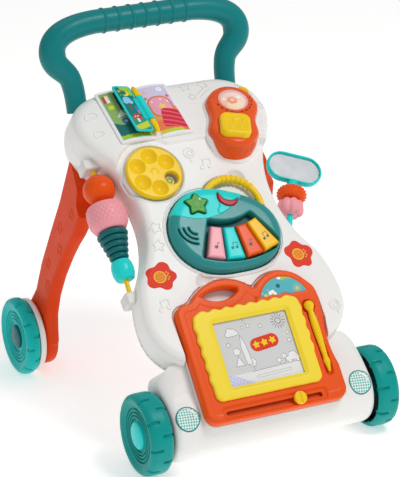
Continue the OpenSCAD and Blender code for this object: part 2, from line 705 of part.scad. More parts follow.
module pink_ring() color(pink) post() translate([0, 0, 23]) difference() {
    union() {
        cylinder(r = 15, h = 13);
        for (k = [0:7]) rotate(k * 45) translate([11.5, 0, 0]) cylinder(r = 7, h = 13);
    }
    translate([0, 0, -1]) cylinder(r = post_r + run, h = 40);
}
module spiky_ring() color(orange) post() translate([0, 0, 45]) difference() {
    union() {
        rotate_extrude() union() {
            square([13, 16]);
            translate([12, 8]) circle(8);
        }
        for (k = [0:11], z = [3, 8, 13]) rotate(k * 30 + z * 5) translate([17, 0, z])
            rotate([0, 90, 0]) cylinder(r = 1.6, h = z == 8 ? 5 : 3.5);
    }
    translate([0, 0, -1]) cylinder(r = post_r + run, h = 40);
}
module mirror_outline(i) {
    for (x = [-16, 16]) translate([x, 0]) circle(20 - i);
    translate([-16, -20 + i]) square([32, 40 - 2 * i]);
}
// The mirror stands on the post: its glass faces the deck's normal
module mirror_plane() post() translate([0, 0, 91]) rotate([90, 0, 0]) children();
module mirror_frame() color(aqua) difference() {
    union() {
        mirror_plane() slab(-7, 6) mirror_outline(0);
        post() translate([0, 0, 63.5]) cylinder(r = 7, h = 10);
    }
    mirror_plane() slab(2, 10) mirror_outline(2.5);
    post() cylinder(r = post_r + run, h = 73.3);
}
module mirror_glass() color("#cfd3d6") mirror_plane() slab(2, 4) mirror_outline(2.6);

front_shell();
back_shell();
bumper();
handle();
leg_left();
leg_right();
screws();
axles();
front_wheel_left();
front_wheel_right();
rear_wheel_left();
rear_wheel_right();
front_cap_left();
front_cap_right();
rear_cap_left();
rear_cap_right();
rear_disc_left();
rear_disc_right();
book_base();
book_spine();
book_page();
phone_base();
phone_body();
phone_lens();
phone_button();
phone_antenna();
dial();
dial_pin();
dial_picture();
panel_housing();
panel_back();
panel_inset();
star_button();
crescent_button();
key_pink();
key_cyan();
key_orange();
key_yellow();
ring_handle();
circuit_board();
speaker();
batteries();
battery_door();
board_case();
board_back();
board_bezel();
board_screen();
pen();
slider();
bead_rod();
bead_ball();
bead_barrel();
bead_cone();
bead_drum();
mirror_post();
mirror_frame();
mirror_glass();
spiky_ring();
pink_ring();
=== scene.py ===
"""Baby walker: the looks of every visible piece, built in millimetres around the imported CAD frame."""
import math

import bmesh
import bpy
import numpy as np
from mathutils import Matrix, Vector


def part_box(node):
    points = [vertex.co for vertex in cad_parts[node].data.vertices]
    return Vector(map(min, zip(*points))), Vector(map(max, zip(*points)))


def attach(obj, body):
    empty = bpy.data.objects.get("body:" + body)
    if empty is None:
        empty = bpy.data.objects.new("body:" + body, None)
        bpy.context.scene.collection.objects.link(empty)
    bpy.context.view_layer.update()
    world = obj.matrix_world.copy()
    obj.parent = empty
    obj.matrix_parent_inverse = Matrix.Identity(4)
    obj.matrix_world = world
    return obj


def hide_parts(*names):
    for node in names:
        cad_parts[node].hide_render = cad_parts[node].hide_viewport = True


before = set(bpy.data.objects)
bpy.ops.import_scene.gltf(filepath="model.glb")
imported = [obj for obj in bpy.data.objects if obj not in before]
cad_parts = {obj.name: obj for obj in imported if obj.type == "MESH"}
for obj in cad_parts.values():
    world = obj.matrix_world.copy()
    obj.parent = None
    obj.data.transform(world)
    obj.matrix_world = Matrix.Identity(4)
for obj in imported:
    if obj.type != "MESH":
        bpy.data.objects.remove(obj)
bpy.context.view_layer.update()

# ---------- frames: each maps millimetres in its own plane to the row frame ----------


def move(x, y, z):
    return Matrix.Translation((x, y, z))


def turn(degrees, axis):
    return Matrix.Rotation(math.radians(degrees), 4, axis)


wheel_low, wheel_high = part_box("front_wheel_left")
AXLE_Y = 500 * (wheel_low.y + wheel_high.y)
DECK_TILT, SHOULDER_TILT, BOARD_TILT = 42, 18.3, 6.8  # degrees
DECK_N, BOARD_U = 107, 90  # the deck's height along its normal, and where the board's frame sits up the deck
SHOULDER_U, SHOULDER_N = 352, 117  # where the deck bends into the shoulder
WHEEL_R, WHEELBASE = 50, 327
HOLE_R, POST_HOLE_R = 3.06, 4.06  # bores of the wheels and beads, and of the rings on the mirror's post
AXLE = Matrix.Scale(0.001, 4) @ move(0, AXLE_Y, 0)
DECK = AXLE @ turn(DECK_TILT, "X")
SHOULDER = DECK @ move(0, SHOULDER_U, SHOULDER_N) @ turn(-SHOULDER_TILT, "X")
BOARD = DECK @ move(0, BOARD_U, DECK_N) @ turn(BOARD_TILT, "X")
HANDLE = AXLE @ move(0, 308, 361) @ turn(75, "X")
POST = DECK @ move(103, 240, 76) @ turn(-25, "Z") @ turn(-90, "X")
MIRROR = POST @ move(0, 0, 91) @ turn(90, "X")
ROD_TOP, ROD_FOOT = Vector((-119, 372, 76)), Vector((-126.5, 196, 71))
ROD = DECK @ Matrix.Translation(ROD_TOP) @ (ROD_FOOT - ROD_TOP).to_track_quat("Z", "Y").to_matrix().to_4x4()
SIDEWAYS = Matrix(((0, 0, 1, 0), (1, 0, 0, 0), (0, 1, 0, 0), (0, 0, 0, 1)))  # x, y, z become y, z, x
SIDES = (("left", Matrix.Scale(-1, 4, (1, 0, 0))), ("right", Matrix.Identity(4)))

# ---------- plane shapes, as signed distances (negative inside) ----------


def circle(cx, cy, r):
    return lambda x, y: np.hypot(x - cx, y - cy) - r


def box(x0, x1, y0, y1, r=0.0):
    cx, cy, hx, hy = (x0 + x1) / 2, (y0 + y1) / 2, (x1 - x0) / 2 - r, (y1 - y0) / 2 - r

    def shape(x, y):
        dx, dy = np.abs(x - cx) - hx, np.abs(y - cy) - hy
        return np.hypot(np.maximum(dx, 0), np.maximum(dy, 0)) + np.minimum(np.maximum(dx, dy), 0) - r

    return shape


def nearest(points, x, y):
    """Distance to the line through the points."""
    d = np.full(np.shape(x), 1e9)
    for (ax, ay), (bx, by) in zip(points, points[1:]):
        ex, ey, wx, wy = bx - ax, by - ay, x - ax, y - ay
        t = np.clip((wx * ex + wy * ey) / (ex * ex + ey * ey), 0, 1)
        d = np.minimum(d, np.hypot(wx - ex * t, wy - ey * t))
    return d


def polygon(points):
    closed = points + points[:1]

    def shape(x, y):
        inside = np.zeros(np.shape(x), bool)
        for (ax, ay), (bx, by) in zip(closed, closed[1:]):
            slope = (bx - ax) / (by - ay) if by != ay else 0
            inside ^= ((ay > y) != (by > y)) & (x < ax + (y - ay) * slope)
        d = nearest(closed, x, y)
        return np.where(inside, -d, d)

    return shape


def stroke(points, width):
    """A drawn line through the points."""
    return lambda x, y: nearest(points, x, y) - width / 2


def either(*shapes):
    return lambda x, y: np.minimum.reduce([f(x, y) for f in shapes])


def both(*shapes):
    return lambda x, y: np.maximum.reduce([f(x, y) for f in shapes])


def minus(a, *others):
    return lambda x, y: np.maximum.reduce([a(x, y)] + [-f(x, y) for f in others])


def grow(a, by):
    return lambda x, y: a(x, y) - by


def outline(a, width):
    return lambda x, y: np.abs(a(x, y)) - width / 2


def soft_union(k, *shapes):
    """The union with its inner corners filled to a radius of about k."""
    def shape(x, y):
        d = shapes[0](x, y)
        for f in shapes[1:]:
            e = f(x, y)
            h = np.clip(0.5 + 0.5 * (e - d) / k, 0, 1)
            d = e * (1 - h) + d * h - k * h * (1 - h)
        return d

    return shape


def placed(a, cx, cy, degrees=0.0, size=1.0):
    """The shape a, scaled, turned and moved so that its origin is at (cx, cy)."""
    c, s = math.cos(math.radians(degrees)), math.sin(math.radians(degrees))

    def shape(x, y):
        dx, dy = (x - cx) / size, (y - cy) / size
        return a(c * dx + s * dy, c * dy - s * dx) * size

    return shape


def arc(cx, cy, r, a0, a1, count=16):
    angles = np.radians(np.linspace(a0, a1, count))
    return [(cx + r * math.cos(a), cy + r * math.sin(a)) for a in angles]


def star(r, inner=0.5, soft=0.6):
    tips = [(r * (1 if k % 2 == 0 else inner)) for k in range(10)]
    return grow(polygon([(t * math.sin(k * math.pi / 5), t * math.cos(k * math.pi / 5))
                         for k, t in enumerate(tips)]), soft)


def flower(r, count=5):
    ring = [circle(r * 0.58 * math.cos(a), r * 0.58 * math.sin(a), r * 0.52)
            for a in np.linspace(0, 2 * math.pi, count, endpoint=False)]
    return either(circle(0, 0, r * 0.5), *ring)


def sun(r, rays=14):
    lines = [stroke([(r * 0.6 * math.cos(a), r * 0.6 * math.sin(a)), (r * math.cos(a), r * math.sin(a))],
                    r * 0.07) for a in np.linspace(0, 2 * math.pi, rays, endpoint=False)]
    return either(outline(circle(0, 0, r * 0.38), r * 0.08), *lines)


cloud = soft_union(0.6, circle(-5, -1, 3.2), circle(-1.5, 2, 4), circle(3.2, 1, 3.4), circle(6, -1.4, 2.6),
                   box(-6, 6.5, -4.2, -1, 1.4))
note = either(circle(-5, -5, 3), circle(5, -4, 3), stroke([(-2.4, -4), (-2.4, 6), (7.4, 7), (7.4, -3)], 1.3))
quaver = either(placed(circle(0, 0, 2.6), -1, -3), stroke([(1.2, -3), (1.2, 5), (4, 3.4)], 1.1))
swirl = either(outline(circle(0, 0, 7), 1.2), outline(circle(0.8, -0.4, 3.6), 1.2), circle(0, -10.6, 2.6))
car = either(box(-8, 8, -3, 1.4, 1.5), polygon([(-5, 1), (-3, 5.4), (3, 5.4), (5.4, 1)]),
             circle(-4.4, -3.6, 2), circle(4.4, -3.6, 2))

# ---------- profiles ----------


def fillet(d, r, h=None):
    """How far an edge rounded over r across and h down has dropped at distance d from the outline."""
    t = np.clip(-d / r, 0, 1)
    return (h if h is not None else r) * (1 - np.sqrt(1 - (1 - t) ** 2))


def ramp(v, w):
    t = np.clip(v / w, 0, 1)
    return t * t * (3 - 2 * t)


def level(n):
    return lambda x, y, d: np.full(np.shape(x), float(n))


def pillow(n, r, h=None):
    """A top at height n with rounded edges."""
    return lambda x, y, d: n - fillet(d, r, h)


def rounded(points, radius, count=5):
    """A profile with its inner corners rounded."""
    line = [points[0]]
    for a, p, b in zip(points, points[1:], points[2:]):
        p = np.array(p, float)
        to_a, to_b = np.array(a, float) - p, np.array(b, float) - p
        cut = min(radius, 0.45 * np.linalg.norm(to_a), 0.45 * np.linalg.norm(to_b))
        start, end = p + to_a / np.linalg.norm(to_a) * cut, p + to_b / np.linalg.norm(to_b) * cut
        for t in np.linspace(0, 1, count):
            line.append(tuple((1 - t) ** 2 * start + 2 * t * (1 - t) * p + t * t * end))
    return line + [points[-1]]

# ---------- meshes ----------


def relief(shape, top, bottom, area, step, crisp=()):
    """A closed mesh over a plane shape. Rim points move onto its outline, near points onto a crisp line."""
    x0, x1, y0, y1 = area
    x, y = np.meshgrid(np.arange(x0, x1 + step, step), np.arange(y0, y1 + step, step), indexing="ij")
    keep = shape(x[:-1, :-1] + step / 2, y[:-1, :-1] + step / 2) < 0
    pad = np.pad(keep, 1).astype(int)
    touch = pad[:-1, :-1] + pad[1:, :-1] + pad[:-1, 1:] + pad[1:, 1:]
    used, rim = touch > 0, (touch > 0) & (touch < 4)

    def snap(mask, line):
        px, py, h = x[mask], y[mask], step / 8
        for _ in range(3):
            d = line(px, py)
            gx = (line(px + h, py) - line(px - h, py)) / (2 * h)
            gy = (line(px, py + h) - line(px, py - h)) / (2 * h)
            size = np.maximum(gx * gx + gy * gy, 0.25)
            px, py = px - d * gx / size, py - d * gy / size
        near = np.hypot(px - x[mask], py - y[mask]) < 1.6 * step
        x[mask], y[mask] = np.where(near, px, x[mask]), np.where(near, py, y[mask])

    for line in crisp:
        snap(used & ~rim & (np.abs(line(x, y)) < 0.5 * step), line)
    snap(rim, shape)
    index = np.full(x.shape, -1)
    index[used] = np.arange(used.sum())
    px, py = x[used], y[used]
    d = np.where(rim[used], 0, np.minimum(shape(px, py), 0))
    upper = np.column_stack([px, py, top(px, py, d)])
    lower = np.column_stack([px, py, bottom(px, py, d)])
    i, j = np.nonzero(keep)
    corners = [index[i, j], index[i + 1, j], index[i + 1, j + 1], index[i, j + 1]]
    quads = np.column_stack(corners)
    faces = [quads, quads[:, ::-1] + len(upper)]
    around = [(pad[i + 1, j], 0, 1), (pad[i + 2, j + 1], 1, 2), (pad[i + 1, j + 2], 2, 3),
              (pad[i, j + 1], 3, 0)]
    for neighbour, a, b in around:
        edge = neighbour == 0
        a, b = corners[a][edge], corners[b][edge]
        faces.append(np.column_stack([b, a, a + len(upper), b + len(upper)]))
    return np.concatenate([upper, lower]), np.concatenate(faces).tolist()


def bands(rings):
    """The faces between each ring of point numbers and the next, with no point twice in a face."""
    steps = [(k, (k + 1) % len(rings[0])) for k in range(len(rings[0]))]
    return [list(dict.fromkeys((a[k], a[m], b[m], b[k])))
            for a, b in zip(rings, rings[1:]) for k, m in steps]


def lathe(profile, sides=96, relief_at=None, closed=False):
    """Points (r, z) turned about Z, with relief_at(angle, r, z) added to r. A radius of 0 is a pole."""
    angles = np.arange(sides) * 2 * math.pi / sides
    verts, rings = [], []
    for r, z in profile:
        if r < 1e-6:
            rings.append([len(verts)] * sides)
            verts.append((0, 0, z))
            continue
        swell = relief_at(angles, r, z) if relief_at else np.zeros(sides)
        rings.append(list(range(len(verts), len(verts) + sides)))
        verts += [((r + s) * math.cos(a), (r + s) * math.sin(a), z) for a, s in zip(angles, swell)]
    if closed:
        return verts, bands(rings + rings[:1])
    return verts, bands(rings) + [ring for ring in (rings[0], rings[-1]) if ring[0] != ring[1]]


def sweep(line, radii, sides):
    """A round tube along a line in the XY plane, with flat ends."""
    line = np.array(line, float)
    d = np.gradient(line, axis=0)
    side = np.column_stack([d[:, 1], -d[:, 0]]) / np.linalg.norm(d, axis=1)[:, None]
    a = np.arange(sides) * 2 * math.pi / sides
    r = np.array(radii)[:, None]
    x = line[:, :1] + side[:, :1] * r * np.cos(a)
    y = line[:, 1:] + side[:, 1:] * r * np.cos(a)
    verts = np.stack([x, y, r * np.sin(a)], axis=2).reshape(-1, 3)
    rings = np.arange(len(verts)).reshape(-1, sides).tolist()
    return verts, bands(rings) + [rings[0], rings[-1]]


def joined(*parts):
    """Several (vertices, faces) as one."""
    verts, faces = [], []
    for v, f in parts:
        faces += [[k + len(verts) for k in face] for face in f]
        verts += [tuple(p) for p in v]
    return verts, faces


def closed_lathe(profile, sides=96, relief_at=None):
    """A lathe whose profile runs on from its last point to its first."""
    return lathe(profile, sides, relief_at, True)


def subdivided(profile, step, outside):
    """The profile with its stretches outside a radius cut into short steps."""
    line = []
    for (r0, z0), (r1, z1) in zip(profile, profile[1:]):
        n = max(1, int(math.hypot(r1 - r0, z1 - z0) / step)) if min(r0, r1) > outside else 1
        line += [(r0 + (r1 - r0) * t / n, z0 + (z1 - z0) * t / n) for t in range(n)]
    return line + [profile[-1]]


def from_mark(a, r, count, shift=0.0):
    """Distance around a ring of radius r to the nearest of count evenly spaced marks."""
    return np.abs((a * count / (2 * math.pi) + shift) % 1 - 0.5) * 2 * math.pi / count * r


def studs(count, heights, reach, inner, rise):
    """Rows of studs outside the inner radius of a lathe, each row half a step round from the last."""
    def relief_at(a, r, z):
        swell = np.zeros(len(a))
        for row, height in enumerate(heights):
            if r >= inner and abs(z - height) < reach:
                swell += rise(np.hypot(from_mark(a, r, count, 0.5 * (row % 2)), z - height))
        return swell

    return relief_at


def shifted(part, matrix):
    m = np.array(matrix)
    return np.asarray(part[0], float) @ m[:3, :3].T + m[:3, 3], part[1]


def piece(name, part, place, material, node=None, body="walker", tint=None, sharp=40):
    """A mesh that rides on a body, with a material. It replaces a CAD node, if one is named."""
    verts, faces = np.asarray(part[0], float), part[1]
    m = np.array(place)
    mesh = bpy.data.meshes.new(name)
    mesh.from_pydata((verts @ m[:3, :3].T + m[:3, 3]).tolist(), [], faces)
    if tint is not None:
        colours = mesh.color_attributes.new("tint", "FLOAT_COLOR", "POINT")
        rgb = tint(verts[:, 0], verts[:, 1])
        rgba = np.column_stack([rgb, np.ones(len(rgb))]).astype(np.float32)
        colours.data.foreach_set("color", rgba.ravel())
    work = bmesh.new()
    work.from_mesh(mesh)
    bmesh.ops.recalc_face_normals(work, faces=work.faces)
    work.to_mesh(mesh)
    work.free()
    mesh.shade_smooth()
    mesh.set_sharp_from_angle(angle=math.radians(sharp))
    o = bpy.data.objects.new(name, mesh)
    bpy.context.scene.collection.objects.link(o)
    mesh.materials.append(material)
    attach(o, body)
    if node:
        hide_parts(node)

# ---------- materials ----------


def linear(code):
    parts = [int(code[k:k + 2], 16) / 255 for k in (1, 3, 5)]
    return np.array([v / 12.92 if v <= 0.04045 else ((v + 0.055) / 1.055) ** 2.4 for v in parts])


def shader(name, colour=None, rough=0.3, spread=0.05, grain=0.05, coat=0.06, metal=0.0):
    """Moulded plastic: faint clouds, uneven gloss and a fine grain. With no colour it shows the tint."""
    material = bpy.data.materials.new(name)
    material.use_nodes = True
    nodes, links = material.node_tree.nodes, material.node_tree.links
    surface = nodes["Principled BSDF"]

    def node(kind, *settings):
        n = nodes.new("ShaderNode" + kind)
        for socket, value in settings:
            n.inputs[socket].default_value = value
        return n

    where = node("TexCoord")

    def noise(scale, detail=3.0):
        n = node("TexNoise", ("Scale", scale), ("Detail", detail))
        links.new(where.outputs["Object"], n.inputs["Vector"])
        return n.outputs["Fac"]

    def spread_over(source, low, high):
        n = node("MapRange", ("From Min", 0.3), ("From Max", 0.7), ("To Min", low), ("To Max", high))
        links.new(source, n.inputs["Value"])
        return n.outputs["Result"]

    mix = node("Mix")
    mix.data_type = "RGBA"
    mix.blend_type = "MULTIPLY"
    mix.inputs[0].default_value = 1.0
    grey = node("CombineColor")
    shade = spread_over(noise(14), 1 - spread, 1.0)
    for socket in grey.inputs:
        links.new(shade, socket)
    links.new(grey.outputs["Color"], mix.inputs[7])
    if colour is None:
        tint = node("Attribute")
        tint.attribute_name = "tint"
        links.new(tint.outputs["Color"], mix.inputs[6])
    else:
        mix.inputs[6].default_value = (*linear(colour), 1)
    links.new(mix.outputs[2], surface.inputs["Base Color"])
    links.new(spread_over(noise(70, 5.0), rough - 0.05, rough + 0.07), surface.inputs["Roughness"])
    bump = node("Bump", ("Strength", grain), ("Distance", 0.0004))
    links.new(noise(900, 2.0), bump.inputs["Height"])
    links.new(bump.outputs["Normal"], surface.inputs["Normal"])
    for socket, value in (("Coat Weight", coat), ("Coat Roughness", 0.12), ("Specular IOR Level", 0.18),
                          ("Metallic", metal)):
        surface.inputs[socket].default_value = value
    return material


def clear_shader(name):
    """Clear plastic: seen through where it faces the eye, glossy white towards its edges."""
    material = shader(name, "#ffffff", 0.07, 0.0, 0.0, 0.0)
    nodes, links = material.node_tree.nodes, material.node_tree.links
    edge = nodes.new("ShaderNodeLayerWeight")
    edge.inputs["Blend"].default_value = 0.25
    blend = nodes.new("ShaderNodeMixShader")
    sources = (edge.outputs["Facing"], nodes.new("ShaderNodeBsdfTransparent").outputs[0],
               nodes["Principled BSDF"].outputs[0])
    for source, socket in zip(sources, blend.inputs):
        links.new(source, socket)
    links.new(blend.outputs[0], nodes["Material Output"].inputs["Surface"])
    return material


WHITE = shader("white_shell", "#f4f3f0", 0.34, 0.025)
CREAM = shader("white_inner", "#e4e2dd", 0.42, 0.04)
ORANGE = shader("orange_gloss", "#f25606", 0.33)
LEG_ORANGE = shader("orange_legs", "#e84200", 0.42, coat=0.0)
# Orange with the vent grooves painted near-black: painted shade in the grooves.
PHONE_ORANGE = shader("phone_orange_vent_shade", None, 0.26)
HANDLE_TEAL = shader("teal_handle", "#0a7f81", 0.36, 0.06, 0.08)
DEEP_TEAL = shader("teal_deep", "#16696c", 0.3)
# Painted shade: a near-black teal for the lining inside the front tyres.
HOLLOW_SHADE = shader("teal_hollow_painted_shade", "#062b2c", 0.6, 0.05, 0.05, 0.0)
# Painted shade: the dark teal floor of the key bay stands for the shade in that recess.
BAY_FLOOR_SHADE = shader("teal_bay_painted_shade", "#0d5557", 0.38)
PANEL_TINT = shader("panel_two_tone", None, 0.3, 0.05, 0.06, 0.25)
TYRE_TEAL = shader("teal_tyre", "#009c96", 0.42, 0.06, 0.08, 0.04)
AQUA = shader("aqua_gloss", "#22dcd8", 0.29)
TYRE_AQUA = shader("aqua_tyre", "#08bdb9", 0.42, 0.06, 0.08, 0.04)
LEAF_PRINT = shader("leaf_print", None, 0.26)
YELLOW = shader("yellow_gloss", "#fbd11c", 0.27)
BEZEL_YELLOW = shader("yellow_bezel", "#fde03a", 0.32)
PINK = shader("pink_gloss", "#f8a3ac", 0.34)
# The star's outlines are print; its small pale dot is a painted highlight.
GREEN_PRINT_AND_GLINT = shader("green_star_print_and_glint", None, 0.3)
RED = shader("red_crescent", "#c32832", 0.3)
PRINT = shader("print", None, 0.5, 0.03, 0.03, 0.0)
MIRROR_FILM = shader("mirror_film", "#9b9da0", 0.36, 0.01, 0.0, 0.0, metal=0.6)
CLEAR = clear_shader("clear_dome")
STEEL = shader("zinc_steel", "#b9bcc0", 0.3, 0.1, 0.1, 0.0, metal=1.0)
COPPER_GREEN = shader("circuit_board", "#1f6b38", 0.4)
BLACK = shader("speaker_black", "#23252a", 0.5)
BATTERY = shader("battery_sleeve", "#c79b3b", 0.35, 0.1, 0.05, 0.2, metal=0.6)

# ---------- body: x across, u up the deck, n out of it ----------
PARTING = 62  # where the front and back shells meet
CROWN_R = 1060  # the deck's bulge from side to side
DIAL_FLOOR, RING_FLOOR, ISLAND_TOP, PANEL_FLOOR = 101, 100, 104.5, 88
DIAL = (-58, 335)
BODY_AREA = (-134, 134, 80, 473)


def bezier(a, b, c, d, count):
    t = np.linspace(0, 1, count)[:, None]
    a, b, c, d = (np.array(p, float) for p in (a, b, c, d))
    return (1 - t) ** 3 * a + 3 * t * (1 - t) ** 2 * b + 3 * t * t * (1 - t) * c + t ** 3 * d


shoulder_flank = bezier((112.6, 368.3), (126, 388.2), (131.9, 406.9), (127.3, 428.4), 16)
RIGHT_EDGE = (arc(70, 143, 62, -90, 0) + arc(-18, 143, 150, 1, 23, 14)[:-1]
              + arc(228.7, 290, 140, 219, 146, 28) + [tuple(p) for p in shoulder_flank[1:-1]]
              + arc(73.5, 417, 55, 12, 90))
BODY = polygon(RIGHT_EDGE + [(-x, y) for x, y in reversed(RIGHT_EDGE)])
DIAL_WELL = circle(*DIAL, 37.6)
PANEL = soft_union(10, circle(-11, 244, 56.5), circle(8, 240.5, 51.5), circle(27, 236, 47.5))
RING = (26, 273)
RING_WELL = both(circle(*RING, 42.8), box(-20, 180, 250, 450))
RING_ISLAND = circle(*RING, 30)
BOARD_SHAPE = minus(soft_union(6, box(-97, 90, -85, 66, 15), circle(46, 44, 42.6), circle(-30, 34, 54.6)),
                    circle(210, -12, 124))
NOTCHES = ((46, 310, 116), (-44, 182, 117))
SHOULDER_PLATE = minus(lambda x, u: 351.5 - u, circle(*DIAL, 45), box(DIAL[0], 72, 200, 369.5))


def crown_n(x):
    return DECK_N - CROWN_R + np.sqrt(CROWN_R ** 2 - x ** 2)


def shoulder_n(u):
    return SHOULDER_N - math.tan(math.radians(SHOULDER_TILT)) * (u - SHOULDER_U)


def board_s(u):
    """The distance up the board's own plane at u up the deck."""
    return (u - 91) / 0.993


def star_lines(*marks):
    """Stars drawn in outline: size, line width, place and turn."""
    return [placed(outline(star(size), width), x, u, degrees) for size, width, x, u, degrees in marks]


deck_marks = either(
    *star_lines((7.5, 1.3, -80, 264, 12), (7.5, 1.3, -84, 240, -14)), placed(note, -104, 163, 5),
    placed(note, 12, 336, -4), placed(swirl, -4, 354), placed(swirl, 112, 122, 12))
shoulder_marks = either(
    *star_lines((7, 1.2, 36, 459, 0), (6.5, 1.2, 60, 459, 20)),
    *star_lines((4.5, 1.1, 38, 440, 10), (5.5, 1.1, 119, 408, 15)),
    placed(outline(cloud, 1.3), -105, 433, 20, 1.1), placed(outline(cloud, 1.2), -107, 402, 20, 0.9),
    *[stroke(arc(79, 410, r, a0, a1), 1.2)
      for r, a0, a1 in ((41, 25, 62), (46, 27, 60), (41, 108, 140), (46, 110, 136))])


def deck_top(x, u, d):
    flat, slope = crown_n(x), shoulder_n(u)
    base = np.where(u > 340, np.minimum(flat, slope), flat)
    plate = SHOULDER_PLATE(x, u)
    n = base + np.maximum(slope - base, 0) * ramp(-plate, 5)
    for k in range(6):
        groove = stroke([(98 + 2.2 * k, 360 + 6.4 * k), (127 + 0.6 * k, 367 + 5.6 * k)], 2.6)
        n -= 2.0 * ramp(0.8 - groove(x, u), 1.2)
    well = DIAL_WELL(x, u)
    n = np.where(well < -0.2, DIAL_FLOOR, n - fillet(-well, 1.6) * (well < 1.6))
    for cx, cu, cn in NOTCHES:
        bowl = 16 ** 2 - (x - cx) ** 2 - (u - cu) ** 2
        n = np.where(bowl > 0, np.minimum(n, cn - np.sqrt(np.maximum(bowl, 0))), n)
    ring_floor = np.where(RING_ISLAND(x, u) < 0, ISLAND_TOP, RING_FLOOR)
    n = np.where(RING_WELL(x, u) < -0.2, np.minimum(n, ring_floor), n)
    n = np.where(PANEL(x, u) < 1.8, PANEL_FLOOR, n)
    n = np.where(BOARD_SHAPE(x, board_s(u)) < 2.8, DECK_N - 18.4 + 0.119 * (u - BOARD_U), n)
    reach = 9 + 5 * ramp(u - 330, 60)
    return n - fillet(d, reach, reach)


def body_under(x, u, d):
    return 50 - 26 * ramp(u - 312, 50) + fillet(d, 11, 15)


shell_lines = (DIAL_WELL, grow(PANEL, 2), RING_WELL, RING_ISLAND,
               lambda x, u: BOARD_SHAPE(x, board_s(u)) - 3)
piece("shell_front", relief(BODY, deck_top, level(PARTING + 0.15), BODY_AREA, 1.0, shell_lines), DECK, WHITE,
      "front_shell", sharp=55)
piece("shell_back", relief(BODY, level(PARTING - 0.3), body_under, BODY_AREA, 1.8), DECK, WHITE,
      "back_shell", sharp=55)


def on_deck(shape, area, step, height, edge, drop, sink):
    """A thin layer on the deck, from sink below it to height above it, with a rounded edge."""
    return relief(shape, lambda x, u, d: deck_top(x, u, BODY(x, u)) + height - fillet(d, edge, drop),
                  lambda x, u, d: deck_top(x, u, BODY(x, u)) - sink, area, step)


dial_line = outline(grow(DIAL_WELL, 2.0), 2.6)
panel_line = minus(outline(grow(PANEL, 4.9), 3.6), grow(RING_WELL, -0.5))
ring_line = both(outline(grow(RING_WELL, 1.3), 1.8), lambda x, u: 252 - u, lambda x, u: 5 - PANEL(x, u))
for name, shape, area, step, height, edge in (
        ("embossed_deck", deck_marks, (-118, 124, 108, 366), 0.45, 1.1, 0.7),
        ("embossed_shoulder", shoulder_marks, (-122, 128, 390, 471), 0.45, 1.1, 0.7),
        ("dial_collar", dial_line, (-100, -14, 294, 378), 0.6, 1.0, 1.0),
        ("panel_collar", panel_line, (-78, 86, 176, 312), 0.7, 1.7, 1.6),
        ("ring_collar", ring_line, (-24, 74, 250, 320), 0.6, 0.8, 0.8)):
    piece(name, on_deck(shape, area, step, height, edge, height, 0.4), DECK, WHITE, sharp=60)


def block(x0, x1, y0, y1, z0, z1, r=2.5):
    """A block with rounded edges."""
    return relief(box(x0, x1, y0, y1, r), pillow(z1, r), lambda x, y, d: z0 + fillet(d, r),
                  (x0, x1, y0, y1), 1.0)


brackets = joined(block(-137, -108, 182, 198, 58, 82), block(-133, -104, 366, 380, 60, 85),
                  block(86, 108, 227, 243, 58, 85))
piece("rod_brackets", brackets, DECK, CREAM)

# The bumper is a side profile pushed across. Its middle is cut back under the drawing board.
bumper_side = soft_union(10, circle(-8, 52, 38.6),
                         polygon([(-36, 73), (12, 129), (42, 100), (42, 32), (-6, 15)]))
bumper_middle = both(bumper_side, lambda y, z: (z - 127.5) * 0.6587 - (y - 9.2) * 0.7524)


def across(shape, x0, x1, r0, r1):
    def crown(z):
        return 20 * ramp(z - 90, 28)

    return shifted(relief(shape, lambda y, z, d: x1 - fillet(d, r1 + (crown(z) if r1 > 1 else 0)),
                          lambda y, z, d: x0 + fillet(d, r0 + (crown(z) if r0 > 1 else 0)),
                          (-48, 44, 12, 133), 1.6), SIDEWAYS)


hub_tube = lathe(rounded([(0, -136.4), (19, -136.4), (21, -134), (21, 134), (19, 136.4), (0, 136.4)], 2))
bumper = joined(across(bumper_side, -134, -101, 9, 0.01), across(bumper_middle, -101, 94, 0.01, 0.01),
                across(bumper_side, 94, 134, 0.01, 9), shifted(hub_tube, SIDEWAYS @ move(0, 50, 0)))
piece("bumper_skin", bumper, AXLE, WHITE, "bumper", sharp=50)

# Each leg is its side profile in y and z, with its splay and thickness along x.
LEG_SIDE = soft_union(6, circle(WHEELBASE, WHEEL_R, 40.6),
                      polygon([(286, 50), (285, 88), (284, 114), (276, 142), (261, 174), (240, 209),
                               (226, 244), (222, 278), (224, 345), (279, 345), (281, 320), (283, 294),
                               (295, 241), (311, 196), (325, 150), (331, 112), (350, 80)]))
SPLAY_Z = (90, 147, 196, 243, 300, 345)


def leg_clip(y, z):
    """Below the back of the body, and a little inside it under the shoulder."""
    c, t = math.cos(math.radians(DECK_TILT)), math.sin(math.radians(DECK_TILT))
    return z * c - y * t - 25 - 13 * ramp(y * c + z * t - 346, 20)


leg_stars = either(*star_lines(*[(6.5, 1.3, 262 + 10.3 * k + (9 if k % 2 else -9), 236 - 27 * k, 25 * k)
                                 for k in range(6)]))


def leg_outer(y, z, d):
    x = np.interp(z, SPLAY_Z, (160, 151, 143, 136, 127, 124))
    return x + 0.8 * ramp(0.8 - leg_stars(y, z), 0.9) - fillet(LEG_SIDE(y, z), 7, 6)


def leg_inner(y, z, d):
    return np.interp(z, SPLAY_Z, (142, 133, 125, 112, 103, 101)) + fillet(LEG_SIDE(y, z), 6, 5)


leg = relief(both(LEG_SIDE, leg_clip), leg_outer, leg_inner, (220, 370, 8, 346), 1.3)
for side, mirrored in SIDES:
    piece("leg_skin_" + side, shifted(leg, mirrored @ SIDEWAYS), AXLE, LEG_ORANGE, "leg_" + side, sharp=60)

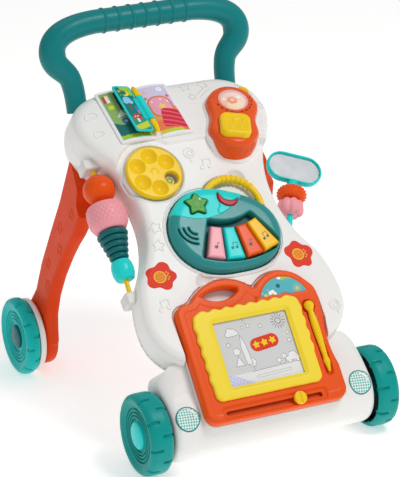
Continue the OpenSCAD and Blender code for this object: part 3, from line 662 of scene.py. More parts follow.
# ---------- handle ----------
GRIP_H, ELBOW_X, RIB_PITCH = 97, 127.5, 18.5
half = np.concatenate([bezier((103.7, -12), (103.7, 6), (104, 16), (107, 28), 20)[:-1],
                       bezier((107, 28), (112, 44), (ELBOW_X, GRIP_H - 52), (ELBOW_X, GRIP_H - 33), 24)[:-1],
                       bezier((ELBOW_X, GRIP_H - 33), (ELBOW_X, GRIP_H - 13), (ELBOW_X - 21, GRIP_H - 2),
                              (66, GRIP_H), 44)[:-1]])
half_r = np.concatenate([np.linspace(13, 13.8, 19), np.linspace(13.8, 16.8, 23), np.linspace(16.8, 15, 43)])
grip_x = np.linspace(66, -66, 221)
ribs = sum(1.4 * np.exp(-((grip_x - k * RIB_PITCH) / 1.5) ** 4) for k in range(-3, 4))
handle_line = np.concatenate([half, np.column_stack([grip_x, np.full(221, GRIP_H)]), half[::-1] * (-1, 1)])
handle_r = np.concatenate([half_r, 15 + ribs, half_r[::-1]])
piece("handle_tube", sweep(handle_line, handle_r, 56), HANDLE, HANDLE_TEAL, "handle", sharp=60)

# ---------- wheels ----------


def tyre(width, dish, web):
    """A tyre turned about Z: rounded treads with slots, a ringed dish outside, hollow inside."""
    floor = width - dish
    rings = []
    for r in (34, 29.5, 25, 21):
        rings += [(r + 2.2, width - dish * 0.55), (r, width - dish * 0.55), (r, floor), (r - 2, floor)]
    inside = [(HOLE_R, floor), (HOLE_R, 0), (13, 0), (13, floor - web), (43.5, floor - web)]
    tread = [(43.5, 0.8), (45.6, 0.1), (49.2, 4), (WHEEL_R, 8), (WHEEL_R, width - 8), (49, width - 3.4),
             (45, width - 0.1), (41, width - 0.6)]

    def slots(a, r, z):
        cut = np.zeros(len(a))
        if r < 44.5:
            return cut
        reach = width * 0.46 - 1.5
        for k in range(18):
            from_edge = (width - z) if k % 2 else z
            along = np.abs((a - k * math.pi / 9 + math.pi) % (2 * math.pi) - math.pi) * r
            cut -= 2.6 * ramp(1.0 - (np.hypot(along, max(from_edge - reach, 0)) - 1.5), 1.3)
        return cut

    profile = rounded(inside + tread + rings + [(8, floor)], 1.6, 4)
    return closed_lathe(subdivided(profile, 1.6, 44), 288, slots)


def dome(r, h):
    """A domed cap on a short cylinder."""
    curve = [(r * math.sin(a), h * 0.42 + (h * 0.58) * math.cos(a)) for a in np.linspace(math.pi / 2, 0, 12)]
    return lathe([(0, 0), (r, 0), (r, h * 0.3)] + curve[:-1] + [(0, h)], 72)


FRONT_TYRE_X, REAR_TYRE_X = 137.3, 170.2  # inner faces
# The liner is painted shade: a near-black sheet inside the front tyres' hollow.
liner = [(13.3, 20.2), (13.3, 19.2), (42.4, 19.2), (42.4, 1.2), (43.3, 1.2), (43.3, 20.2)]
disc = rounded([(3.5, 0.3), (44, 0.3), (47, 3), (47, 9), (44.4, 9), (44.4, 3.2), (3.5, 3.2)], 1.5)
front_parts = (("tyre", tyre(29.7, 6, 3), FRONT_TYRE_X, TYRE_TEAL, "wheel"),
               ("hollow", closed_lathe(liner), FRONT_TYRE_X, HOLLOW_SHADE, None),
               ("hub", dome(17, 7), 161, AQUA, "cap"))
rear_parts = (("tyre", tyre(18.8, 5, 3), REAR_TYRE_X, TYRE_AQUA, "wheel"),
              ("hub", dome(15, 5), 184, DEEP_TEAL, "cap"),
              ("plate", closed_lathe(disc), 161, WHITE, "disc"))
for end, y, parts in (("front", 0, front_parts), ("rear", WHEELBASE, rear_parts)):
    for side, mirrored in SIDES:
        for name, part, x, material, node in parts:
            piece(f"{end}_{name}_{side}", shifted(part, mirrored @ move(x, 0, 0) @ SIDEWAYS),
                  AXLE @ move(0, y, WHEEL_R), material, node and f"{end}_{node}_{side}", f"{end}_{side}")

# ---------- pictures: colours laid over one another, kept as vertex colours ----------


def paint(base, *layers):
    def tint(x, y):
        rgb = np.tile(linear(base), (len(x), 1))
        for shape, code in layers:
            cover = ramp(0.2 - shape(x, y), 0.4)[:, None]
            rgb = rgb * (1 - cover) + linear(code) * cover
        return rgb

    return tint


def spots(code, *circles):
    """Layers of one colour, each a disc given by its centre and radius."""
    return [(circle(*c), code) for c in circles]


def clipped(area, *layers):
    """The layers, cut off at the edge of an area."""
    return [(both(area, shape), code) for shape, code in layers]


def stripes(pitch, width, degrees=0.0):
    c, s = math.cos(math.radians(degrees)), math.sin(math.radians(degrees))
    return lambda x, y: np.abs((x * c + y * s) % pitch - pitch / 2) - width / 2


def checks(size, degrees=0.0):
    c, s = math.cos(math.radians(degrees)), math.sin(math.radians(degrees))
    return lambda x, y: np.where(
        (np.floor((x * c + y * s) / size) + np.floor((y * c - x * s) / size)) % 2 < 1, -1.0, 1.0)


def dent(n, x, y, cx, cy, r, depth):
    """A spherical hollow with a softened brim."""
    big = (r * r + depth * depth) / (2 * depth)
    rho = (x - cx) ** 2 + (y - cy) ** 2
    bowl = np.where(rho < big * big, n - depth + big - np.sqrt(np.maximum(big * big - rho, 0)), n + 9)
    h = np.clip(0.5 + 0.5 * (bowl - n) / 0.9, 0, 1)
    return bowl * (1 - h) + n * h - 0.9 * h * (1 - h)


# ---------- dial ----------
dimples = [(DIAL[0] + 22.2 * math.cos(math.radians(60 * k - 30)),
            DIAL[1] + 22.2 * math.sin(math.radians(60 * k - 30))) for k in range(6)]


def dial_top(x, u, d):
    n = 110.8 - fillet(d, 1.8) + 0.5 * ramp(6 - np.hypot(x - DIAL[0], u - DIAL[1]), 3)
    for cx, cu in dimples[1:]:
        n = dent(n, x, u, cx, cu, 10.2, 6.3)
    return n


DIAL_AREA = (-94, -22, 299, 371)
dial_shape = minus(circle(*DIAL, 35.5), circle(*dimples[0], 8.6))
piece("dial_face", relief(dial_shape, dial_top, level(103.3), DIAL_AREA, 0.7), DECK, YELLOW, "dial", "dial",
      sharp=60)
peep = dimples[0]
dial_layers = [(circle(*peep, 7), "#f2f6ea"), (outline(circle(*peep, 6.6), 1.6), "#c8283a"),
               (placed(flower(4.6), peep[0], peep[1] + 0.5), "#8fc43c"), (circle(*peep, 1.4), "#fff3a0")]
piece("dial_card", relief(circle(*DIAL, 35.2), level(101.6), level(101.0), DIAL_AREA, 0.8), DECK, PRINT,
      "dial_picture", tint=paint("#bfe3f4", *dial_layers))

# ---------- music panel ----------
FAN = (12, 314)


def key_shape(degrees):
    wedge = polygon([(-6.75, -73), (6.75, -73), (11.25, -115), (-11.25, -115)])
    return grow(placed(grow(wedge, -2.2), *FAN, degrees), 2.2)


bay_edge = arc(*FAN, 66, -114, -65, 12) + arc(*FAN, 115, -62.5, -115, 24)
BAY_SHAPE = both(grow(polygon(bay_edge), 3.2), grow(PANEL, -3.5))
STAR = placed(star(13.6, 0.58, 1.8), -25, 278, -8)
CRESCENT = placed(minus(circle(0, 0, 13.2), circle(0, 8.6, 14.6)), 18.5, 281.5, -28)
SLOTS = either(*[stroke(arc(-36, 249, r, 176, 258), 2.3) for r in (9.5, 16, 22.5)])
SKY = either(circle(-16, 330, 72), grow(STAR, 3.2))
INSET = minus(both(grow(PANEL, -0.6), SKY), grow(STAR, 0.9), grow(CRESCENT, 0.9))


def panel_top(x, u, d):
    n = 119 - fillet(PANEL(x, u), 13, 9)
    n -= fillet(-BAY_SHAPE(x, u), 2.2) * (BAY_SHAPE(x, u) > -0.5)
    return n - fillet(-SLOTS(x, u), 0.6) * (SLOTS(x, u) > -0.3)


def panel_under(x, u, d):
    n = np.where(BAY_SHAPE(x, u) < 2.5, 107.2, panel_top(x, u, d) - 2.4)
    return np.where(PANEL(x, u) > -2.6, 91.3, n)


PANEL_AREA = (-70, 78, 184, 304)
piece("panel_shell", relief(minus(PANEL, BAY_SHAPE, grow(STAR, 0.7), grow(CRESCENT, 0.7), SLOTS), panel_top,
                            panel_under, PANEL_AREA, 0.8), DECK, PANEL_TINT, "panel_housing", "panel",
      tint=paint("#2b8f8e", (both(SKY, lambda x, u: 250 - u), "#2fdcd6")), sharp=50)
# The bay floor under the keys is dark teal as painted shade in the recess.
piece("panel_bay", relief(grow(BAY_SHAPE, 1.5), level(107), level(105), PANEL_AREA, 1.0), DECK, BAY_FLOOR_SHADE,
      body="panel")


def inset_top(x, u, d):
    n = 120.0 - fillet(PANEL(x, u), 13, 9) - fillet(d, 0.8)
    return n + 1.3 * ramp(0.4 - placed(cloud, 12, 266, 4, 1.6)(x, u), 1.4)


piece("panel_sky", relief(INSET, inset_top, lambda x, u, d: 118.9 - fillet(PANEL(x, u), 13, 9), PANEL_AREA,
                          0.6), DECK, AQUA, "panel_inset", "panel")
# Dark outlines are print; the pale dot near the upper right is a painted highlight.
piece("star_cap", relief(STAR, pillow(122.2, 2.0, 1.8), level(112), (-42, -8, 260, 296), 0.45), DECK,
      GREEN_PRINT_AND_GLINT, "star_button", "star",
      tint=paint("#4aa22b", (outline(STAR, 1.7), "#1d5a20"), (outline(grow(STAR, -5.2), 0.9), "#2f7f22"),
                 (circle(-19, 284, 1.5), "#e9f7e0")))
piece("crescent_cap", relief(CRESCENT, pillow(122, 1.6), level(112), (2, 36, 262, 300), 0.45), DECK, RED,
      "crescent_button", "crescent")
for k, angle, colour, code, slot in (
        (1, -18, "pink", "#fbabb4", "pink_plastic"), (2, -5.2, "cyan", "#22e0dc", "aqua_plastic"),
        (3, 7.6, "orange", "#f0561c", "orange_plastic"), (4, 20.4, "yellow", "#fcc41e", "yellow_plastic")):
    mid = (FAN[0] + 99 * math.sin(math.radians(angle)), FAN[1] - 99 * math.cos(math.radians(angle)))
    mark, size = (quaver, 0.85) if k % 2 else (note, 0.6)
    area = (mid[0] - 34, mid[0] + 34, mid[1] - 34, mid[1] + 40)
    cap = relief(key_shape(angle), pillow(120.5, 2.8), level(109.2), area, 0.5)
    piece("key_cap_" + colour, cap, DECK, shader("key_print_" + colour, None, 0.28), "key_" + colour,
          f"key_{k}", tint=paint(code, (placed(mark, *mid, angle, size), "#0d4b4d")))

ring_angles = np.radians(np.linspace(-12, 156, 240))
ring_line = np.column_stack([RING[0] + 36.5 * np.cos(ring_angles), RING[1] + 36.5 * np.sin(ring_angles)])
ring_ribs = sum(1.3 * np.exp(-((np.degrees(ring_angles) - a) / 2.3) ** 4) for a in range(34, 95, 10))
piece("ring_tube", shifted(sweep(ring_line, 4.4 + ring_ribs, 32), move(0, 0, 110)), DECK, YELLOW,
      "ring_handle", "panel", sharp=60)

# ---------- drawing board ----------
LOOP_HOLE = both(circle(-32, 24, 53.5), box(-60.5, -11, 62.5, 102, 5), circle(-34, 100, 37.5))
WINDOW = box(-59, 43, -48, 37, 3)
BEZEL = soft_union(3, box(-80, 61, -60, 50, 9), *[circle(-66 + 16.1 * k, 46, 6.5) for k in range(8)],
                   *[circle(-75, 34 - 16.5 * k, 6.5) for k in range(5)],
                   *[circle(56, 34 - 16.5 * k, 6.5) for k in range(4)])
HALF_MOON = minus(both(circle(46, 44, 33), lambda x, s: 54 - s), grow(BEZEL, 4))
PEN_BAY = either(circle(73, 34, 8.6), polygon([(67.5, 34), (78.5, 34), (79, -50), (69, -50)]),
                 circle(74, -50, 5))
TRACK = box(-76, 62, -81.5, -67, 4)
KNOB_SLOT = box(-72, 56, -78, -72, 2.8)
CASE = minus(BOARD_SHAPE, LOOP_HOLE)


def case_top(x, s, d):
    rim = CASE(x, s)
    t = -fillet(rim, 7, 7) - 1.8 * ramp(-rim - 8.5, 1.8)
    arch = np.hypot(x - 46, s - 44)
    t -= 1.2 * np.exp(-((arch - 38.2) / 1.0) ** 2) * (s > 52)
    loop = np.hypot(x + 30, s - 34)
    t -= 1.0 * np.exp(-((loop - 49.5) / 0.8) ** 2) * (s > 56) * (x < 4)
    t = np.where(HALF_MOON(x, s) < 1.2, -1.9, t)
    t = np.minimum(t, -1.6 - 2.2 * ramp(0.6 - TRACK(x, s), 1.8))
    groove = np.clip(-PEN_BAY(x, s) / 5.2, 0, 1)
    return np.where(PEN_BAY(x, s) < 0.4, np.minimum(t, -1.8 - 5.2 * np.sqrt(1 - (1 - groove) ** 2)), t)


def case_under(x, s, d):
    return np.where(CASE(x, s) > -2.4, -14, case_top(x, s, d) - 2.2)


BOARD_AREA = (-98, 91, -86, 90)
piece("board_case_skin", relief(minus(CASE, WINDOW, KNOB_SLOT), case_top, case_under, BOARD_AREA, 0.8),
      BOARD, ORANGE, "board_case", "board", sharp=50)
piece("board_back_skin", relief(minus(grow(BOARD_SHAPE, 1.5), LOOP_HOLE), pillow(-14, 1),
                                lambda x, s, d: -18 + fillet(d, 1.5), (-100, 93, -88, 92), 1.2), BOARD,
      CREAM, "board_back", "board")


def bezel_top(x, s, d):
    return 3 - fillet(BEZEL(x, s), 2.6, 2.2) - 2.4 * (1 - ramp(WINDOW(x, s) + 2, 5))


piece("bezel_skin", relief(minus(BEZEL, grow(WINDOW, -2)), bezel_top, level(-1.6), (-84, 66, -62, 55), 0.8),
      BOARD, BEZEL_YELLOW, "board_bezel", "board", sharp=60)


def sketch(shape, w=0.55):
    return ((grow(shape, w), "#f1f1f1"), (outline(shape, w), "#4d5156"))


scene_layers = [(stripes(1.9, 0.62, -58), "#b2b5b8")]
scene_layers += sketch(placed(cloud, -36, 20, 4, 1.05))
for cx, cy, r in ((-20, 24, 1.6), (-12, 25, 2.2), (-16, 31, 1.3), (4, 22, 2.2), (-44, 6, 2.4), (36, 8, 2.0),
                  (35, -2, 2.4)):
    scene_layers += sketch(placed(star(r), cx, cy, 20 * cx), 0.45)
scene_layers += [(placed(sun(9.5), 28, 24), "#4d5156")]
for cx, cy, r in ((-36, -4, 4.5), (-20, -20, 5), (14, -24, 3), (22, -20, 3)):
    scene_layers += sketch(placed(flower(r), cx, cy), 0.45)
    scene_layers += [(stroke([(cx, cy - r), (cx, cy - r - 5)], 0.5), "#4d5156")]
scene_layers += sketch(polygon([(-26, 16), (-29, 2), (-27, -22), (-20, -22), (-22, 2)]), 0.5)
scene_layers += sketch(polygon([(-42, -22), (-36, -10), (-30, -22)]), 0.5)
scene_layers += [(both(box(-59, 43, -48, -28), lambda x, y: y + 30 - 0.04 * x), "#eceded"),
                 (stroke([(-24, -31.3), (38, -28.8)], 0.5), "#4d5156")]
scene_layers += sketch(placed(car, 33, -23, 2, 1.25), 0.45)
scene_layers += [(stroke([(-18, -40), (-20.5, -38.5), (-18, -37), (26, -35.2), (26, -38.2), (-18, -40)],
                         0.4), "#9da0a3")]
PILL = box(-19, 19, -8.5, 8.5, 8.4)
scene_layers += [(placed(PILL, 2.5, 1, 6), "#e23b24")]
for k in range(3):
    scene_layers += [(placed(star(4.3), -8.5 + 11 * k, 0.1 + 1.1 * k, 6 + 9 * k), "#fbd11c")]
CORNER = polygon([(-70, -20), (-70, -60), (-14, -60), (-22, -46)])
scene_layers += [(CORNER, "#c9cdf2"), (both(CORNER, either(stripes(4.2, 0.7, 50), stripes(4.2, 0.7, -30))),
                                       "#e3e5fb")]
piece("screen_film", relief(grow(WINDOW, 2), level(-2.4), level(-4.4), (-62, 46, -51, 40), 0.4), BOARD,
      PRINT, "board_screen", "board", tint=paint("#e6e6e5", *scene_layers))

moon_layers = [
    (placed(flower(5), 32, 57), "#ffffff"), (circle(32, 57, 1.5), "#f7d23a"),
    (placed(flower(2.6), 23, 56), "#f7d23a"), (circle(19.5, 60, 0.8), "#f7d23a"),
    (placed(flower(2.6), 42, 66), "#1b6a72"), (circle(27, 63, 0.8), "#f7d23a"),
    (placed(sun(6, 12), 66, 59), "#e9d54a"), (circle(66, 59, 1.7), "#e9d54a"),
    (either(circle(50, 76, 4), circle(56, 77, 4), circle(61, 75, 3)), "#a9d13c"),
    (circle(46, 76, 2.4), "#ffffff")]
piece("half_moon_card", relief(grow(HALF_MOON, -0.2), level(-1.3), level(-2.2), (10, 82, 50, 80), 0.4),
      BOARD, PRINT, body="board", tint=paint("#58b9c3", *moon_layers))

pen_profile = rounded([(0, -6.4), (3.4, -5.6), (6, -2.6), (6.3, 0.6), (4.6, 4.4), (3.2, 7), (3.7, 11),
                       (4.6, 22), (4.3, 40), (3.2, 60), (2.9, 66), (3.9, 68.4), (4.1, 72), (3.1, 76),
                       (1.2, 84), (0, 84.6)], 1.6, 4)
PEN_LINE = Vector((1, -84, -2)).to_track_quat("Z", "Y").to_matrix().to_4x4()
piece("pen_body", shifted(lathe(pen_profile, 48), move(73, 34, 0) @ PEN_LINE), BOARD, YELLOW, "pen",
      "stylus", sharp=60)


def knob_top(x, s, d):
    bar = np.maximum(np.abs(x - 24) - 0.8, np.abs(s + 75) - 6.6)
    return 4 - fillet(d, 1.5) - 1.2 * ramp(0.5 - bar, 0.8)


knob = joined(relief(circle(24, -75, 8), knob_top, level(0.4), (15, 33, -84, -66), 0.4),
              relief(box(21.4, 26.6, -77.6, -72.4), level(0.6), level(-7.4), (21, 27, -78, -72), 1.0),
              relief(box(19, 29, -79, 55), level(-6.9), level(-8.5), (19, 29, -79, 55), 2.0))
piece("slot_floor", relief(grow(KNOB_SLOT, 1.5), level(-9), level(-9.8), (-90, 90, -86, -62), 1.0), BOARD,
      ORANGE, body="board")
piece("eraser_knob", knob, BOARD, YELLOW, "slider", "eraser")

# ---------- book ----------
SPINE_X = -36
BOOK = box(-86, 12, 29, 122, 3)


def book_rise(x):
    t = np.clip((np.abs(x - SPINE_X) - 5) / 44, 0, 1)
    return 2.4 + 3.2 * np.sin(math.pi * t) ** 0.8


def book_top(x, s, d):
    return np.minimum(book_rise(x), 5.7) - fillet(d, 1.0, 1.0) - 1.2 * ramp(6 - np.abs(x - SPINE_X), 2)


left_page, right_page = box(-82, -42, 33, 118), box(-30, 8, 33, 118)
headboard, blanket = box(-26, 4, 62, 98, 12), placed(box(-14, 24, -20, 14, 5), -4, 60, -14)
book_layers = [
    (left_page, "#8fb56a"), *clipped(left_page, (lambda x, s: s - 62 - 4 * np.sin(x / 5), "#1c6f6c"),
                                     (either(*[circle(-80 + 6 * k, 36, 4.2) for k in range(8)]), "#a6cf39")),
    (box(-64, -44, 84, 116, 2), "#123e5c"), (placed(star(2.4), -58, 108), "#f4f0d0"),
    (circle(-51, 100, 1.3), "#f4f0d0"), (box(-80, -72, 100, 113, 1), "#f4efe2"),
    (box(-80, -76.4, 100, 113, 1), "#d5482c"), (box(-78, -71, 88, 95, 1), "#cfe03a"),
    (polygon([(-74, 72), (-66, 84), (-60, 74)]), "#e6e8e4"), (circle(-66, 64, 5), "#2c6fb4"),
    (circle(-66, 64, 2.4), "#9cc9ee"), (polygon([(-60, 50), (-48, 58), (-46, 46)]), "#e07b2e"),
    (right_page, "#d9d0ee"), *clipped(right_page, (circle(-6, 36, 44), "#f0a35c"),
                                      (circle(-22, 24, 32), "#f0844e"),
                                      (either(*[circle(-28 + 6 * k, 34, 5) for k in range(5)]), "#c4d83b"),
                                      (headboard, "#f3a7bb"), (outline(headboard, 2.2), "#e07b3e")),
    *spots("#e07b3e", (-26, 98, 2.6), (4, 98, 2.6)),
    *clipped(right_page, (blanket, "#d92f45"), (both(blanket, stripes(8, 2.4, 66)), "#f0687a")),
    (placed(star(4.6), -10, 80, 12), "#fbd86a"), (placed(flower(3.6), -2, 111), "#ffffff"),
    (circle(-2, 111, 1.1), "#c7a9de"), (circle(-14, 109, 1.6), "#f7e04a"),
    (placed(star(2.2), -23, 108), "#f6b6cf"), *spots("#ffffff", (-20, 90, 1.2), (-8, 92, 1.2), (0, 88, 1.2))]
piece("book_pages", relief(BOOK, book_top, lambda x, s, d: fillet(d, 0.8), (-86, 12, 29, 122), 0.45),
      SHOULDER, PRINT, "book_base", tint=paint("#f4f3f5", *book_layers))
SPINE_LINE = SHOULDER @ move(SPINE_X, 0, 9) @ turn(-90, "X")
tip = rounded([(0, 0), (2.6, 1.6), (4.3, 10), (4.7, 20.6), (0, 20.6)], 2.2)
spine = joined(shifted(lathe(tip, 40), move(0, 0, 33)), lathe([(r, 118 - z) for r, z in tip], 40),
               lathe([(0, 50), (1.5, 50), (1.5, 100), (0, 100)], 24),
               *[shifted(lathe([(0, 0), (2.4, 0), (2.4, 4), (0, 4)], 24), move(0, 9, s) @ turn(90, "X"))
                 for s in (41, 110)])
piece("spine_tips", spine, SPINE_LINE, YELLOW, "book_spine")
PAGE = SHOULDER @ move(SPINE_X, 0, 9) @ turn(12, "Y")
LEAF = box(-31, -5.4, 33, 118, 4.5)
leaf_picture = box(-28.2, -8.2, 36, 115, 2.5)
leaf_layers = [
    (leaf_picture, "#187c78"), (both(leaf_picture, lambda x, s: s - 60), "#2a9a86"),
    (both(leaf_picture, either(circle(-10, 112, 7), circle(-17, 114, 5), circle(-9, 104, 4))), "#a9cf38"),
    (minus(circle(-17, 104, 5), circle(-19.4, 106, 4.6)), "#f7e53a"),
    (placed(star(2.0), -24, 108), "#a9cf38"), (circle(-24, 101, 0.9), "#a9cf38"),
    (box(-20.4, -18.2, 74, 88), "#8a5a2c"),
    *spots("#8fd0f0", (-19.4, 92, 5.6), (-22.6, 88, 3.6), (-15.8, 88, 3.6)),
    (polygon([(-14.6, 70), (-9.4, 70), (-9.4, 78), (-12, 82), (-14.6, 78)]), "#2f83d2"),
    (box(-13, -11, 66, 72), "#f08a2c"), (both(circle(-19, 58, 6.4), lambda x, s: 56 - s), "#dc2f3a"),
    (box(-20.6, -17.4, 50, 57, 1), "#f6efe0"), *spots("#ffffff", (-21.4, 60, 1.1), (-17.4, 61, 1.1)),
    (both(leaf_picture, either(*[circle(-27 + 5 * k, 38 + 2.4 * k, 5) for k in range(5)])), "#cfdc36")]


def leaf_top(x, s, d):
    return 1.4 - 0.7 * ramp(0.3 - leaf_picture(x, s), 0.8) - fillet(d, 1.2, 1.0)


def leaf_under(x, s, d):
    return -1.2 + 0.6 * ramp(0.3 - leaf_picture(x, s), 0.8) + fillet(d, 1.0, 0.8)


piece("leaf", relief(LEAF, leaf_top, leaf_under, (-32, -5, 32, 119), 0.4), PAGE, LEAF_PRINT, "book_page",
      "page", tint=paint("#2bd0cb", *leaf_layers))
hinge_profile = [(1.56, 54.3), (4.4, 54.3), (5, 55), (5, 96), (4.4, 96.7), (1.56, 96.7)]
hinge = joined(shifted(closed_lathe(rounded(hinge_profile, 0.6), 40), turn(-90, "X")),
               relief(box(-10, -3.4, 57, 94, 0.5), level(1.1), level(-1.0), (-10, -3, 57, 94), 0.5))
piece("leaf_hinge", hinge, PAGE, AQUA, body="page")

# ---------- phone ----------
LENS, BUTTON = (78, 61), (59, 14)
PHONE = soft_union(16, circle(*LENS, 31.6), circle(*BUTTON, 29.6),
                   placed(box(-25, 25, -25, 25), 68.5, 37.5, -20))
BUTTON_SHAPE = placed(box(-19.4, 19.4, -19.4, 19.4, 10), *BUTTON, -20)
LENS_HOLE = circle(*LENS, 19.6)
vents = either(*[stroke(arc(*LENS, 23.4, a, a + 9, 6), 1.3) for a in range(186, 360, 17)])


def phone_foot(s):
    """Where the phone's skirt meets the shell: lower where it hangs over the ledge."""
    return 1.2 - 16 * ramp(13 - s, 23)


piece("phone_rim", relief(minus(grow(PHONE, 3), grow(PHONE, -2.5)),
                          lambda x, s, d: phone_foot(s) + 1.2 - fillet(d, 1.4), level(-19),
                          (22, 117, -24, 99), 0.9), SHOULDER, WHITE, "phone_base")


def phone_top(x, s, d):
    n = 15 - fillet(PHONE(x, s), 11, 9)
    n += 0.8 * ramp(27 - np.hypot(x - LENS[0], s - LENS[1]), 4)
    n -= 1.2 * ramp(0.4 - vents(x, s), 0.6)
    n -= 1.2 * fillet(-LENS_HOLE(x, s), 1.2) * (LENS_HOLE(x, s) > -0.4)
    return n - fillet(-BUTTON_SHAPE(x, s), 1.6) * (BUTTON_SHAPE(x, s) > -0.5)


def phone_under(x, s, d):
    return np.where(PHONE(x, s) > -2.5, phone_foot(s) + 0.4, phone_top(x, s, d) - 2.3)


phone_shell = relief(minus(PHONE, LENS_HOLE, grow(BUTTON_SHAPE, 0.5)), phone_top, phone_under,
                     (25, 114, -20, 97), 0.7)
# The vents are cut in and also painted near-black, as painted shade.
piece("phone_shell", phone_shell, SHOULDER, PHONE_ORANGE, "phone_body",
      tint=paint("#ee5a20", (vents, "#3a1208")), sharp=55)
lens_centre = SHOULDER @ move(*LENS, 0)
face_layers = [
    (circle(0, 0, 16), "#f9c9a6"), (both(circle(0, 0, 16), circle(0, -10, 11.5)), "#fbe3bd"),
    (outline(circle(0, 0, 16.8), 2.0), "#f08e6a"), (placed(flower(6.4, 6), 0, 2), "#f2703c"),
    (circle(0, 2, 2.4), "#fbd86a"), (placed(star(2.2), -10, 6), "#ffffff"),
    (placed(star(2.2), 10, 6), "#ffffff")]
piece("phone_card", relief(circle(0, 0, 19.3), level(13.2), level(11.5), (-20, 20, -20, 20), 0.45),
      lens_centre, PRINT, tint=paint("#ee6a36", *face_layers))


def lens_cap(r, heights):
    """Points of a spherical cap whose centre is 16 below the lens frame."""
    return [(math.sqrt(max(r ** 2 - (z + 16) ** 2, 0)), z) for z in heights]


def without_end(profile):
    """A lathe without the disc at its open end."""
    verts, faces = lathe(profile, 96)
    return verts, faces[:-1]


dome_outer = [(19.4, 14.0)] + lens_cap(36, np.linspace(14.26, 20, 24))[:-1] + [(0, 20)]
dome_inner = [(0, 18.6)] + lens_cap(34.6, np.linspace(18.6, 14.4, 16))[1:] + [(17.6, 14.0)]
piece("phone_dome", joined(without_end(dome_outer), without_end(dome_inner)), lens_centre, CLEAR,
      "phone_lens")
piece("lens_ring", closed_lathe(rounded([(17.9, 13.4), (17.9, 15.0), (19.5, 15.6), (19.5, 13.4)], 0.5)),
      lens_centre, PINK)
button_mark = placed(note, *BUTTON, -18, 1.15)


def key_top(x, s, d):
    n = 23 - fillet(d, 4.5, 4) - 0.9 * ramp(16 - np.hypot(x - BUTTON[0], s - BUTTON[1]), 10)
    return n + 0.8 * ramp(0.5 - button_mark(x, s), 0.9)


piece("phone_key", relief(BUTTON_SHAPE, key_top, level(5.0), (33, 85, -16, 40), 0.6), SHOULDER, YELLOW,
      "phone_button", "phone_key", sharp=60)
piece("aerial", relief(minus(circle(104, 84, 8.4), grow(PHONE, 3.4)), pillow(7.5, 4, 3.6), level(-1),
                       (95, 114, 75, 94), 0.5), SHOULDER, YELLOW, "phone_antenna")

# ---------- beads ----------


def half_round(r, z0, z1, bulge):
    """Points of a rounded ridge that stands out by bulge between two heights."""
    angles = np.linspace(0, math.pi, 12)
    return [(r + bulge * math.sin(a), (z0 + z1) / 2 - (z1 - z0) / 2 * math.cos(a)) for a in angles]


ball = [(max(HOLE_R, 19.95 * math.sin(a)) - 0.35 * math.exp(-((a - 1.5) / 0.022) ** 2), -19.95 * math.cos(a))
        for a in np.unique(np.concatenate([np.linspace(0.16, math.pi - 0.16, 60),
                                           np.linspace(1.4, 1.6, 26)]))]
ball = [(HOLE_R, ball[0][1])] + ball + [(HOLE_R, ball[-1][1])]
piece("ball", shifted(closed_lathe(ball), move(0, 0, 32.6)), ROD, ORANGE, "bead_ball", "ball")
dots = studs(26, [6.2 + 4.1 * row for row in range(7)], 1.7, 22.8, lambda d: 1.0 * ramp(1.7 - d, 1.2))
barrel = rounded([(HOLE_R, 0.2), (17, 0.2), (21.6, 1.6), (24.0, 9), (24.3, 20), (23, 29), (19, 35.6),
                  (16, 36.8), (HOLE_R, 36.8)], 4, 8)
piece("barrel", shifted(closed_lathe(subdivided(barrel, 0.6, 17), 260, dots), move(0, 0, 53)), ROD, PINK,
      "bead_barrel", "barrel", sharp=60)
bellows = [(HOLE_R, 0.1)]
for k in range(5):
    bellows += half_round(16.2 - 1.8 * k, 7.4 * k + 0.15, 7.4 * k + 7.1, 3.2)
bellows += [(HOLE_R, 36.9)]
piece("bellows", shifted(closed_lathe(bellows), move(0, 0, 91)), ROD, DEEP_TEAL, "bead_cone", "cone",
      sharp=50)


def drum_seams(a, r, z):
    return -0.5 * ramp(0.7 - from_mark(a, r, 4), 0.6) * (r >= 9)


drum = rounded([(9, 0.2), (11.6, 0.8), (13.9, 8), (13.9, 17), (11.4, 25), (9, 25.8)], 3, 7)
drum = [(HOLE_R, 0.2)] + drum + [(HOLE_R, 25.8)]
piece("drum", shifted(closed_lathe(drum, 160, drum_seams), move(0, 0, 129)), ROD, AQUA, "bead_drum", "drum",
      sharp=60)

# ---------- mirror and its rings ----------
STADIUM = box(-36, 36, -20, 20, 19.9)


def frame_top(x, y, d):
    return np.where(d < -2.7, 2.0, 6 - fillet(d, 1.3) - fillet(-2.7 - d, 1.0) * (d > -2.7))


mirror_rim = relief(STADIUM, frame_top, lambda x, y, d: -7 + fillet(d, 6, 6), (-37, 37, -21, 21), 0.7,
                    (grow(STADIUM, -2.7),))
piece("mirror_rim", mirror_rim, MIRROR, AQUA, "mirror_frame", "mirror", sharp=50)
piece("mirror_boss", closed_lathe(rounded([(4.1, 63.5), (6, 63.5), (7, 64.5), (7, 73), (4.1, 73)], 0.8), 48),
      POST, AQUA, body="mirror")
piece("mirror_face", relief(grow(STADIUM, -2.8), level(2.5), level(2.05), (-34, 34, -18, 18), 1.2), MIRROR,
      MIRROR_FILM, "mirror_glass", "mirror")
spikes = studs(20, (46.6, 49.8, 53, 56.2, 59.4), 1.5, 14, lambda d: 1.7 * np.clip(1 - d / 1.5, 0, 1))
ring_curve = [(10.6 + 7.4 * math.cos(a), 53 + 8.6 * math.sin(a))
              for a in np.linspace(-math.pi / 2, math.pi / 2, 60)]
piece("spiky", closed_lathe([(POST_HOLE_R, 44.4)] + ring_curve + [(POST_HOLE_R, 61.6)], 220, spikes), POST,
      ORANGE, "spiky_ring", "spiky", sharp=60)
petal_ring = soft_union(1.2, circle(0, 0, 12), *[circle(10.4 * math.cos(a), 10.4 * math.sin(a), 6.6)
                                                 for a in np.radians(np.arange(0, 360, 45))])
